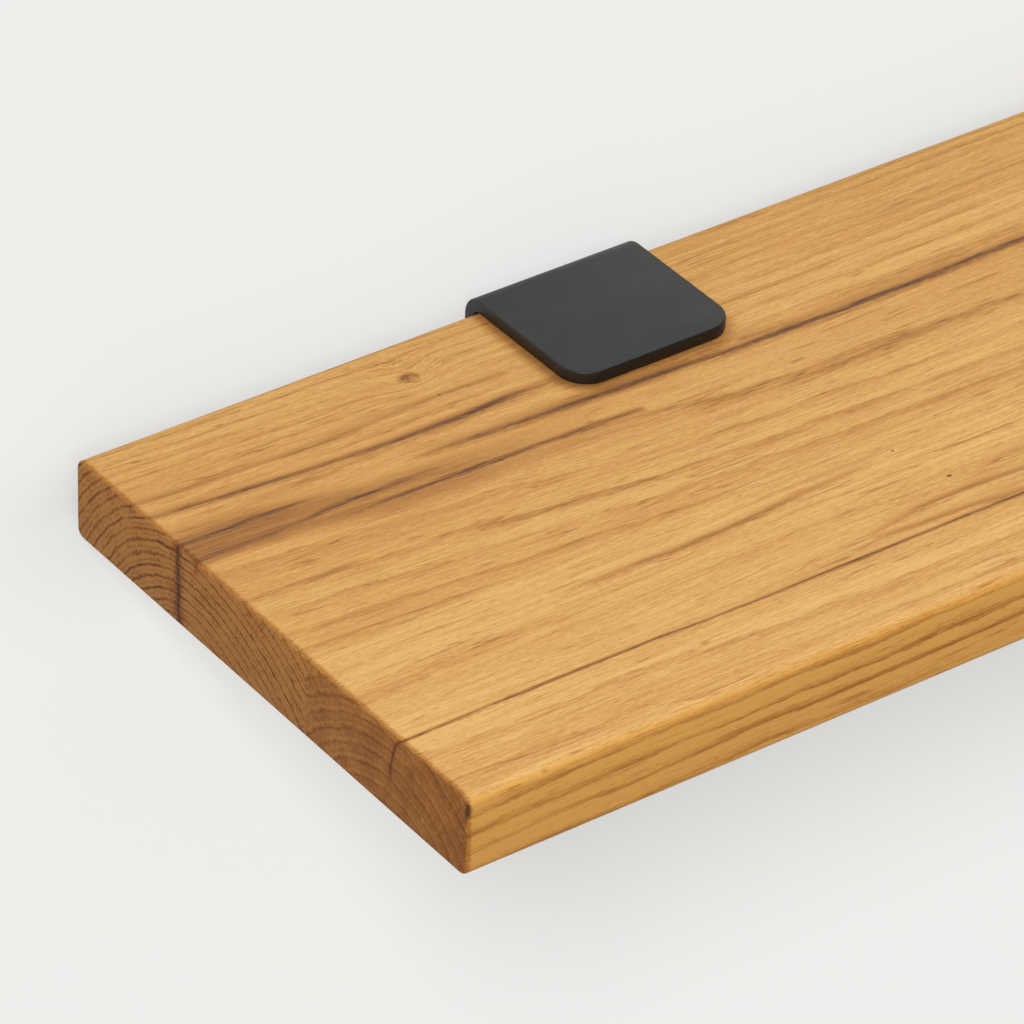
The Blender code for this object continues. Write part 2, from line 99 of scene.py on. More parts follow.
# Lines along the oak, as (along the board, across it, strength) in millimetres from the middle and the wall
HEART_CHECK = (
    (-400, -53.2, 1.0), (-378, -53.6, 0.95), (-357, -54.2, 0.35), (-335, -54.0, 0.0), (-320, -54.2, 0.35),
    (-300, -55.2, 0.7), (-260, -57.0, 0.9), (-220, -58.8, 0.9), (-160, -59.8, 1.0), (-110, -59.2, 0.9),
    (0, -62.0, 0.5), (120, -60.0, 0.2), (260, -57.0, 0.6), (400, -55.0, 0.9),
)
REAR_STREAKS = (
    ((-400, -61.6, 0.4), (-375, -61.8, 0.6), (-350, -61.0, 1.0), (-336, -61.1, 0.7), (-320, -61.8, 0.0)),
    ((-360, -65.4, 0.0), (-344, -65.9, 0.55), (-325, -66.2, 1.0), (-300, -67.0, 0.75), (-266, -68.5, 0.7),
     (-258, -69.0, 0.0)),
    ((-400, -38.8, 0.0), (-393, -39.4, 0.5), (-372, -41.2, 0.8), (-345, -43.4, 0.6), (-315, -44.7, 0.9),
     (-296, -44.4, 1.0), (-278, -44.0, 0.4), (-262, -44.0, 0.0)),
    ((-400, -30.2, 0.1), (-385, -32.4, 0.3), (-365, -33.2, 0.2), (-342, -34.8, 0.4), (-322, -34.0, 0.2),
     (-300, -33.4, 0.3), (-280, -34.0, 0.0)),
    ((-276, -69.6, 0.0), (-264, -71.2, 0.2), (-250, -73.4, 0.3), (-238, -76.4, 0.2), (-224, -79.0, 0.0)),
    ((60, -36.0, 0.0), (110, -38.5, 0.7), (190, -41.0, 0.5), (260, -40.0, 0.8), (310, -38.5, 0.0)),
    ((120, -78.0, 0.0), (170, -80.0, 0.6), (240, -83.0, 0.9), (330, -84.0, 0.5), (370, -83.0, 0.0)),
)
REAR_STAIN = (
    (-400, -56.5, 0.9), (-380, -57.5, 0.85), (-366, -59.5, 0.7), (-350, -63.0, 0.6), (-330, -65.5, 0.6),
    (-305, -66.5, 0.4), (-275, -67.5, 0.2), (-250, -66.0, 0.1), (0, -62.0, 0.2), (220, -58.0, 0.3),
    (400, -57.0, 0.9),
)
FRONT_STAIN = (
    (-400, -157.0, 0.0), (-250, -157.0, 0.1), (0, -160.0, 0.0), (240, -168.0, 0.4), (400, -166.0, 0.1),
)
FRONT_CHECK = (
    (-400, -155.4, 0.8), (-350, -155.2, 0.9), (-320, -155.5, 0.9), (-300, -156.2, 0.7), (-260, -156.4, 1.0),
    (-200, -156.7, 1.0), (-80, -157.6, 0.7), (40, -156.0, 0.0), (400, -155.0, 0.0),
)
FRONT_STREAKS = (
    ((-330, -125.6, 0.0), (-300, -126.4, 0.4), (-272, -126.0, 0.5), (-244, -124.4, 0.3), (-220, -123.0, 0.0)),
    ((-248, -150.4, 0.0), (-234, -148.0, 0.25), (-216, -146.6, 0.35), (-190, -147.6, 0.3),
     (-150, -149.5, 0.0)),
    ((-248, -150.4, 0.0), (-232, -152.4, 0.3), (-214, -154.0, 0.35), (-190, -155.6, 0.3),
     (-160, -157.0, 0.0)),
    ((80, -170.0, 0.0), (150, -168.5, 0.6), (240, -169.5, 0.8), (320, -171.0, 0.0)),
)

# How far the fibres run across the board, and up, as (along, off) in millimetres
REAR_DRIFT = (
    (-400, 0.0), (-300, -5.0), (-220, -7.5), (-120, -8.0), (0, -5.0), (150, -2.0), (280, -6.0), (400, -9.0),
)
FRONT_DRIFT = ((-400, 0.0), (-300, -1.2), (-200, -1.6), (-60, 1.0), (120, 2.5), (260, 0.5), (400, -2.0))
REAR_RISE = (
    (-400, 0.0), (-330, 0.9), (-265, 2.7), (-200, 3.5), (-100, 4.0), (60, 2.0), (250, -1.0), (400, -3.0),
)
FRONT_RISE = ((-400, 0.0), (-245, 1.8), (-150, 2.9), (0, 3.2), (200, 1.0), (400, -0.5))

# Knots and specks as (along, across, radius), and where a dark spot stands for a chip on the front corner,
# which the mesh does not cut
REAR_KNOTS = ((-303.8, -21.8, 3.5),)
FRONT_CHIP = (-400.0, -184.0, 35.2)
FRONT_SPECKS = ((-215.0, -122.0, 0.45), (-209.6, -139.6, 0.75), (150.0, -146.0, 0.6))
REAR_SPECKS = ((-301.5, -33.0, 0.4), (96.0, -70.0, 0.6))


class BoardSettings(bpy.types.PropertyGroup):
    """Sizes and colours of the oak board."""

    edge_radius: bpy.props.FloatProperty(
        name="Long edge radius", description="Round-over of the board's long edges",
        default=3.0 * MM, unit="LENGTH",
    )
    arris_radius: bpy.props.FloatProperty(
        name="End arris", description="Easing of the board's end edges", default=0.8 * MM, unit="LENGTH"
    )
    pale: bpy.props.FloatVectorProperty(
        name="Pale wood", description="Lightest wood between the rings",
        default=(0.80, 0.475, 0.158), subtype="COLOR",
    )
    golden: bpy.props.FloatVectorProperty(
        name="Golden wood", description="Usual tone of the rings",
        default=(0.63, 0.325, 0.090), subtype="COLOR",
    )
    brown: bpy.props.FloatVectorProperty(
        name="Brown wood", description="Stained wood and porous rings",
        default=(0.40, 0.170, 0.040), subtype="COLOR",
    )
    dark: bpy.props.FloatVectorProperty(
        name="Dark wood", description="Mineral streaks", default=(0.24, 0.100, 0.032), subtype="COLOR"
    )
    black: bpy.props.FloatVectorProperty(
        name="Black wood", description="Open checks", default=(0.07, 0.032, 0.018), subtype="COLOR"
    )
    end_tint: bpy.props.FloatVectorProperty(
        name="End grain", description="Share of light that the oiled end grain keeps",
        default=(0.61, 0.455, 0.34), subtype="COLOR",
    )
    # Painted light: the long edges are tinted warmer than the top for the light they get, not for their wood.
    painted_edge_light: bpy.props.FloatVectorProperty(
        name="Long edges", description="Share of light that the long edges keep", default=(1.0, 0.845, 0.565),
        subtype="COLOR",
    )
    arris_tint: bpy.props.FloatVectorProperty(
        name="End arris", description="Share of light that the eased end edges keep",
        default=(0.62, 0.47, 0.26), subtype="COLOR",
    )
    roughness: bpy.props.FloatProperty(
        name="Oil sheen", description="Roughness of the oiled face", default=0.52, subtype="FACTOR"
    )


class BracketSettings(bpy.types.PropertyGroup):
    """Sizes and finish of the folded brackets."""

    sheet: bpy.props.FloatProperty(
        name="Sheet", description="Thickness of the steel sheet", default=4.0 * MM, unit="LENGTH"
    )
    bend_radius: bpy.props.FloatProperty(
        name="Bend radius", description="Outer radius of the bends", default=7.0 * MM, unit="LENGTH"
    )
    corner_radius: bpy.props.FloatProperty(
        name="Corner radius", description="Round corners of tab and arm", default=9.0 * MM, unit="LENGTH"
    )
    edge_radius: bpy.props.FloatProperty(
        name="Edge radius", description="Softness of the coated edges", default=0.5 * MM, unit="LENGTH"
    )
    coat: bpy.props.FloatVectorProperty(
        name="Powder coat", description="Colour of the matt coat",
        default=(0.002, 0.002, 0.0019), subtype="COLOR",
    )
    roughness: bpy.props.FloatProperty(
        name="Coat roughness", description="Roughness of the matt coat", default=0.5, subtype="FACTOR"
    )


class HardwareSettings(bpy.types.PropertyGroup):
    """Threads and finishes of the clamp and the wall fixings."""

    clamp_thread: bpy.props.FloatProperty(
        name="Clamp thread", description="Outer diameter of the clamp screw's thread",
        default=7.8 * MM, unit="LENGTH",
    )
    clamp_pitch: bpy.props.FloatProperty(
        name="Clamp pitch", description="Rise of the clamp screw in one turn",
        default=1.25 * MM, unit="LENGTH",
    )
    wood_thread: bpy.props.FloatProperty(
        name="Wall screw thread", description="Outer diameter of the wall screws",
        default=4.5 * MM, unit="LENGTH",
    )
    wood_pitch: bpy.props.FloatProperty(
        name="Wall screw pitch", description="Rise of a wall screw in one turn",
        default=2.0 * MM, unit="LENGTH",
    )
    zinc: bpy.props.FloatVectorProperty(
        name="Zinc", description="Bright zinc plate", default=(0.60, 0.61, 0.63), subtype="COLOR"
    )
    black_oxide: bpy.props.FloatVectorProperty(
        name="Black oxide", description="Blackened steel", default=(0.075, 0.074, 0.072), subtype="COLOR"
    )
    rubber: bpy.props.FloatVectorProperty(
        name="Rubber", description="Facing of the pressure plate",
        default=(0.028, 0.028, 0.028), subtype="COLOR",
    )
    nylon: bpy.props.FloatVectorProperty(
        name="Nylon", description="Wall plugs", default=(0.34, 0.35, 0.36), subtype="COLOR"
    )


class StageSettings(bpy.types.PropertyGroup):
    """Backdrop, lamps and camera."""

    backdrop: bpy.props.FloatVectorProperty(
        name="Backdrop", description="Colour of wall and floor", default=(0.95, 0.95, 0.94), subtype="COLOR"
    )
    behind: bpy.props.FloatVectorProperty(
        name="Distance", description="What shows past the backdrop",
        default=(0.855, 0.855, 0.84), subtype="COLOR",
    )
    lit: bpy.props.FloatProperty(
        name="Open wall", description="How light the lamps make the backdrop, as a share of the distance",
        default=0.76, subtype="FACTOR",
    )
    room: bpy.props.FloatVectorProperty(
        name="Room", description="What mirrors show of the room in front",
        default=(0.05, 0.05, 0.05), subtype="COLOR",
    )
    shade: bpy.props.FloatProperty(
        name="Shade", description="How much of the lamps' light and shadow the backdrop shows", default=0.5,
        subtype="FACTOR",
    )
    contact: bpy.props.FloatProperty(
        name="Contact shade", description="How much darker the backdrop is close to the shelf", default=0.48,
        subtype="FACTOR",
    )
    fill: bpy.props.FloatProperty(name="Fill light", description="Even light from all round", default=0.27)
    key: bpy.props.FloatProperty(name="Key light", description="Strength of the lamp overhead", default=0.94)
    key_spread: bpy.props.FloatProperty(
        name="Key spread", description="Angle that the lamp overhead covers",
        default=math.radians(30), subtype="ANGLE",
    )
    key_from: bpy.props.FloatVectorProperty(
        name="Key side", description="Direction that the lamp overhead shines from",
        default=(0.45, 0.10, 0.88), subtype="DIRECTION",
    )
    side: bpy.props.FloatProperty(
        name="Side light", description="Strength of the lamp beside the camera", default=2.26
    )
    side_spread: bpy.props.FloatProperty(
        name="Side spread", description="Angle that the lamp beside the camera covers",
        default=math.radians(12), subtype="ANGLE",
    )
    side_from: bpy.props.FloatVectorProperty(
        name="Side", description="Direction that the lamp beside the camera shines from",
        default=(-0.49, -0.57, 0.66), subtype="DIRECTION",
    )
    lens: bpy.props.FloatProperty(
        name="Lens", description="Focal length on a sensor of 36 mm", default=232.73, unit="CAMERA"
    )
    camera_place: bpy.props.FloatVectorProperty(
        name="Camera place", description="Where the camera stands", default=(-1.184116, -1.234258, 1.044687),
        subtype="TRANSLATION", precision=6,
    )
    camera_turn: bpy.props.FloatVectorProperty(
        name="Camera turn", description="Heading, tilt and roll of the camera",
        default=(math.radians(-37.11), math.radians(55.0), math.radians(2.16)), subtype="EULER",
    )


def deselect_everything():
    if bpy.context.mode != "OBJECT":
        bpy.ops.object.mode_set(mode="OBJECT")
    bpy.ops.object.select_all(action="DESELECT")


def work_on(piece):
    """Makes a piece the only selected one."""
    deselect_everything()
    piece.select_set(True)
    bpy.context.view_layer.objects.active = piece


def edit(piece, action="DESELECT"):
    """Opens a piece in edit mode with nothing in it selected, or with all of it for SELECT."""
    work_on(piece)
    bpy.ops.object.mode_set(mode="EDIT")
    bpy.ops.mesh.select_all(action=action)


def done():
    bpy.ops.object.mode_set(mode="OBJECT")


def choose(piece, kind, test):
    """In edit mode, selects the VERT, EDGE or FACE elements that pass a test."""
    bpy.ops.mesh.select_mode(type=kind)
    bpy.ops.mesh.select_all(action="DESELECT")
    shape = bmesh.from_edit_mesh(piece.data)
    elements = {"VERT": shape.verts, "EDGE": shape.edges, "FACE": shape.faces}[kind]
    for element in elements:
        if test(element):
            element.select_set(True)
    shape.select_flush_mode()
    bmesh.update_edit_mesh(piece.data)


def round_off(radius, steps, affect="EDGES"):
    """In edit mode, bevels the selected edges or, for VERTICES, corners."""
    bpy.ops.mesh.bevel(offset=radius, segments=steps, profile=0.5, affect=affect)


def extrude(step):
    bpy.ops.mesh.extrude_region_move(TRANSFORM_OT_translate={"value": step})


def swing(centre, steps):
    """In edit mode, sweeps the selected edge a quarter turn round a line along X."""
    bpy.ops.mesh.spin(steps=steps, angle=QUARTER_TURN, center=centre, axis=(1.0, 0.0, 0.0))


def narrow(ratio, level=0.0):
    """In edit mode, scales the selection towards the Z axis."""
    bpy.ops.transform.resize(value=(ratio, ratio, 1.0), center_override=(0.0, 0.0, level))


def middle(edge):
    return (edge.verts[0].co + edge.verts[1].co) / 2


def span(edge):
    """How far an edge reaches along each axis."""
    step = edge.verts[1].co - edge.verts[0].co
    return Vector((abs(step.x), abs(step.y), abs(step.z)))


def near(value, other, within=0.01 * MM):
    return abs(value - other) < within


def block(name, low, high):
    """A cube between two corners, as the start of a piece."""
    deselect_everything()
    low, high = Vector(low), Vector(high)
    bpy.ops.mesh.primitive_cube_add(size=1.0, location=(low + high) / 2, scale=high - low)
    return named(name)


def sheet(name, centre, width, depth, turn=(0.0, 0.0, 0.0)):
    """A flat plane of a given size, as the start of a piece."""
    deselect_everything()
    bpy.ops.mesh.primitive_plane_add(size=1.0, location=centre, rotation=turn)
    bpy.context.active_object.scale = (width, depth, 1.0)
    return named(name)


def named(name):
    """Names the piece just added and moves its place into its mesh."""
    piece = bpy.context.active_object
    piece.name = name
    piece.data.name = name
    bpy.ops.object.transform_apply(location=True, rotation=True, scale=True)
    return piece


def modify(piece, kind, **values):
    """Adds a modifier and applies it."""
    work_on(piece)
    modifier = piece.modifiers.new(kind.lower(), kind)
    for name, value in values.items():
        setattr(modifier, name, value)
    bpy.ops.object.modifier_apply(modifier=modifier.name)


def soften(piece, width, steps, angle):
    """Bevels all edges that are sharper than an angle."""
    modify(piece, "BEVEL", width=width, segments=steps, limit_method="ANGLE", angle_limit=angle)


def join_shape(piece, other, operation):
    """Cuts a piece with another, or joins them, and removes the other."""
    modify(piece, "BOOLEAN", operation=operation, object=other)
    bpy.data.objects.remove(other, do_unlink=True)


def face_outwards(piece):
    edit(piece, "SELECT")
    bpy.ops.mesh.remove_doubles(threshold=WELD_DISTANCE)
    bpy.ops.mesh.normals_make_consistent(inside=False)
    done()


def smooth(piece):
    work_on(piece)
    bpy.ops.object.shade_smooth_by_angle(angle=SMOOTH_ANGLE)


def copy_across(piece, name, shift):
    """A copy of a piece with its own mesh, moved by a distance that goes into the mesh."""
    work_on(piece)
    bpy.ops.object.duplicate(linked=False)
    bpy.ops.transform.translate(value=shift)
    return named(name)


def turned(name, rings, sides=64, bored=False):
    """A turned blank on the Z axis, raised ring by ring through (radius, level) pairs.

    A bored one ends where it began, at its inner rim, and its two rims are then bridged.
    """
    deselect_everything()
    radius, level = rings[0]
    centre = (0.0, 0.0, level)
    bpy.ops.mesh.primitive_circle_add(vertices=sides, radius=radius, fill_type="NGON", location=centre)
    piece = named(name)
    bpy.ops.object.mode_set(mode="EDIT")
    bpy.ops.mesh.select_mode(type="FACE")
    bpy.ops.mesh.select_all(action="SELECT")
    for next_radius, next_level in rings[1:]:
        extrude((0.0, 0.0, next_level - level))
        narrow(next_radius / radius, next_level)
        radius, level = next_radius, next_level
    if bored:
        choose(piece, "FACE", lambda f: len(f.verts) == sides)
        bpy.ops.mesh.delete(type="ONLY_FACE")
        choose(piece, "EDGE", lambda e: e.is_boundary)
        bpy.ops.mesh.bridge_edge_loops()
    done()
    face_outwards(piece)
    return piece


def placed(piece, place, turn=(0.0, 0.0, 0.0)):
    """Turns and moves a finished blank, and puts that into its mesh."""
    work_on(piece)
    piece.rotation_euler = turn
    piece.location = place
    bpy.ops.object.transform_apply(location=True, rotation=True, scale=True)
    return piece


def thread(name, root, crest, pitch, start, turns, steps=24):
    """A right-hand helical ridge round the Z axis, sunk a little into the shank that carries it."""
    sunk = root - THREAD_SUNK
    foot = THREAD_FOOT * pitch
    piece = sheet(name, ((sunk + crest) / 2, 0.0, start), crest - sunk, foot, turn=(QUARTER_TURN, 0.0, 0.0))
    edit(piece)
    choose(piece, "EDGE", lambda e: near(middle(e).x, crest))
    bpy.ops.transform.resize(value=(1.0, 1.0, THREAD_CREST), center_override=(crest, 0.0, start))
    bpy.ops.mesh.select_all(action="SELECT")
    bpy.ops.mesh.delete(type="ONLY_FACE")
    done()
    modify(
        piece, "SCREW", axis="Z", angle=2 * math.pi, screw_offset=pitch, iterations=turns,
        steps=steps, render_steps=steps, use_merge_vertices=False,
    )
    edit(piece, "SELECT")
    bpy.ops.mesh.fill_holes(sides=0)
    done()
    face_outwards(piece)
    return piece


def settle(piece, node, body, finish):
    """Gives a piece its finish and hangs it on the frame in place of a node."""
    smooth(piece)
    piece.data.materials.clear()
    piece.data.materials.append(finish)
    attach(piece, body)
    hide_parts(node)


def settle_pair(left, node, body, finish):
    """Copies a left-hand piece to the right and hangs both on the frame."""
    right = copy_across(left, left.name.replace("left_", "right_"), TO_RIGHT)
    for side, piece in (("left", left), ("right", right)):
        settle(piece, f"{side}_{node}", body.format(side=side), finish)


class Field:
    """A number, colour or shader that varies over a surface. Sums and products become Math nodes."""

    def __init__(self, wiring, socket):
        self.wiring = wiring
        self.socket = socket

    def __add__(self, other):
        return self.wiring.math("ADD", self, other)

    def __sub__(self, other):
        return self.wiring.math("SUBTRACT", self, other)

    def __rsub__(self, other):
        return self.wiring.math("SUBTRACT", other, self)

    def __mul__(self, other):
        return self.wiring.math("MULTIPLY", self, other)

    def __truediv__(self, other):
        return self.wiring.math("DIVIDE", self, other)

    def __abs__(self):
        return self.wiring.math("ABSOLUTE", self)

    __radd__ = __add__
    __rmul__ = __mul__


class Wiring:
    """Adds nodes to a node tree, feeds them and hands out what they give as fields."""

    def __init__(self, tree):
        self.tree = tree

    def node(self, kind, **settings):
        made = self.tree.nodes.new(kind)
        for name, value in settings.items():
            setattr(made, name, value)
        return made

    def feed(self, socket, value):
        """Links a field to a socket, or sets a plain value on it."""
        if isinstance(value, Field):
            self.tree.links.new(value.socket, socket)
        elif socket.type == "RGBA":
            socket.default_value = (*value[:3], 1.0)
        else:
            socket.default_value = value

    def fed(self, node, *values, output=0):
        """Feeds a node's first sockets, in order, and gives one of its outputs."""
        for socket, value in zip(node.inputs, values):
            self.feed(socket, value)
        return Field(self, node.outputs[output])

    def math(self, operation, *values):
        return self.fed(self.node("ShaderNodeMath", operation=operation), *values)

    def higher(self, first, second):
        return self.math("MAXIMUM", first, second)

    def distance(self, first, second):
        """How far a point lies off, from its distances along two axes."""
        return self.math("SQRT", first * first + second * second)

    def vector_math(self, operation, *values, output="Vector"):
        return self.fed(self.node("ShaderNodeVectorMath", operation=operation), *values, output=output)

    def scaled(self, vector, factor):
        node = self.node("ShaderNodeVectorMath", operation="SCALE")
        self.feed(node.inputs["Scale"], factor)
        return self.fed(node, vector)

    def split(self, vector):
        node = self.node("ShaderNodeSeparateXYZ")
        self.feed(node.inputs[0], vector)
        return [Field(self, socket) for socket in node.outputs]

    def joined(self, x, y, z):
        return self.fed(self.node("ShaderNodeCombineXYZ"), x, y, z)

    def ramp(self, value, low, high, start=0.0, end=1.0, kind="SMOOTHSTEP"):
        """Goes from start to end while a value goes from low to high."""
        node = self.node("ShaderNodeMapRange", interpolation_type=kind)
        return self.fed(node, value, low, high, start, end)

    def peak(self, value, top, reach):
        """1 where a value is at its top, falling to 0 within a reach on both sides."""
        return self.ramp(abs(value - top), reach, 0.0)

    def blend(self, share, first, second):
        node = self.node("ShaderNodeMix", data_type="RGBA")
        for index, value in ((0, share), (6, first), (7, second)):
            self.feed(node.inputs[index], value)
        return Field(self, node.outputs[2])

    def mix_shaders(self, share, first, second):
        return self.fed(self.node("ShaderNodeMixShader"), share, first, second)

    def seen_by(self, *kinds):
        """1 for rays of the given kinds, and 0 for all others."""
        paths = self.node("ShaderNodeLightPath").outputs
        shares = [Field(self, paths[f"Is {kind} Ray"]) for kind in kinds]
        return functools.reduce(self.higher, shares)


class Finish(Wiring):
    """A material wired from formulas on the piece's own coordinates."""

    def __init__(self, name):
        self.material = bpy.data.materials.new(name)
        self.material.use_nodes = True
        super().__init__(self.material.node_tree)
        self.shader = self.tree.nodes["Principled BSDF"]
        self.coordinates = self.node("ShaderNodeTexCoord").outputs

    def set(self, **values):
        """Sets the shader's sockets, by their names with underscores."""
        for name, value in values.items():
            self.feed(self.shader.inputs[name.replace("_", " ")], value)

    def place(self):
        """Where a point lies, in millimetres."""
        return self.scaled(Field(self, self.coordinates["Object"]), 1 / MM)

    def facing(self):
        return Field(self, self.coordinates["Normal"])

    def grain(self, where, lengths, detail=2.0, roughness=0.5, output="Fac"):
        """Noise whose grains are about as long as given along each axis."""
        node = self.node("ShaderNodeTexNoise")
        self.feed(node.inputs["Vector"], self.vector_math("DIVIDE", where, lengths))
        for name, value in (("Scale", 1.0), ("Detail", detail), ("Roughness", roughness)):
            node.inputs[name].default_value = value
        return Field(self, node.outputs[output])

    def chance(self, number):
        """A value from 0 to 1 that is fixed for each whole number."""
        node = self.node("ShaderNodeTexWhiteNoise", noise_dimensions="1D")
        self.feed(node.inputs["W"], number)
        return Field(self, node.outputs["Value"])

    def tones(self, value, colours):
        """Picks from a row of colours, dark to light, the one whose red is as strong as a value."""
        node = self.node("ShaderNodeValToRGB")
        elements = node.color_ramp.elements
        while len(elements) < len(colours):
            elements.new(0.5)
        for element, colour in zip(elements, colours):
            element.position = colour[0]
            element.color = (*colour, 1.0)
        return self.fed(node, value)

    def line(self, along, points):
        """The height of a smooth line through (along, height) points."""
        first, last = points[0][0], points[-1][0]
        heights = [height for _, height in points]
        low = min(heights)
        rise = max(max(heights) - low, WELD_DISTANCE)
        node = self.node("ShaderNodeFloatCurve")
        curve = node.mapping.curves[0]
        for _ in points[2:]:
            curve.points.new(0.5, 0.5)
        for point, (start, height) in zip(curve.points, points):
            point.location = ((start - first) / (last - first), (height - low) / rise)
        node.mapping.update()
        self.feed(node.inputs["Value"], (along - first) / (last - first))
        return Field(self, node.outputs[0]) * rise + low

    def bump(self, height, distance, strength=1.0):
        node = self.node("ShaderNodeBump")
        for name, value in (("Strength", strength), ("Distance", distance), ("Height", height)):
            self.feed(node.inputs[name], value)
        self.tree.links.new(node.outputs["Normal"], self.shader.inputs["Normal"])


class Stave(NamedTuple):
    """Where the heart of the tree lies beside a stave, and the marks that run along it. Millimetres."""

    pith: tuple  # across the board and up
    squeeze: tuple  # how close the rings lie behind the heart and in front of it
    ring: float  # width of a ring
    phase: float  # where the count of rings starts
    pore_row: float  # share of a ring that its row of pores takes on a cut end
    halfway: float  # strength of the second line in a ring, on a cut end
    drift: tuple  # how far the fibres run across the board, along it
    rise: tuple  # how far they run up
    contrast: float  # strength of the rings
    tone: float  # lightness of the faces along the grain
    end_tone: tuple  # lightness of the ends, across the board
    check: tuple  # the open check along the heart
    check_width: float
    check_lean: tuple  # how far the check leans, by depth
    check_depth: float
    streaks: tuple  # mineral lines
    stain: tuple  # browned wood
    specks: tuple  # along, across and radius
    knots: tuple = ()  # along, across and radius
    chip: tuple = None  # where a dark spot stands for a chip on a corner


REAR_STAVE = Stave(
    pith=(-58.0, -20.0), squeeze=(1.14, 0.84), ring=3.3, phase=0.06, pore_row=0.3, halfway=0.5,
    drift=REAR_DRIFT, rise=REAR_RISE,
    contrast=1.0, tone=0.665, end_tone=((-114, 0.76), (-58, 0.765), (-4, 0.78)),
    check=HEART_CHECK, check_width=1.5, check_lean=((0, 0.0), (12, -0.3), (25, -0.9)), check_depth=60.0,
    streaks=REAR_STREAKS, stain=REAR_STAIN, specks=REAR_SPECKS, knots=REAR_KNOTS,
)
FRONT_STAVE = Stave(
    pith=(-149.0, -12.0), squeeze=(1.0, 1.0), ring=4.3, phase=1.25, pore_row=0.17, halfway=0.15,
    drift=FRONT_DRIFT, rise=FRONT_RISE,
    contrast=0.72, tone=0.727, end_tone=((-185, 0.54), (-149, 0.605), (-113, 0.675)),
    check=FRONT_CHECK, check_width=0.45, check_depth=18.0,
    check_lean=((0, 0.0), (3, 2.4), (7, 3.7), (13, 4.6), (25, 5.2)),
    streaks=FRONT_STREAKS, stain=FRONT_STAIN, specks=FRONT_SPECKS, chip=FRONT_CHIP,
)


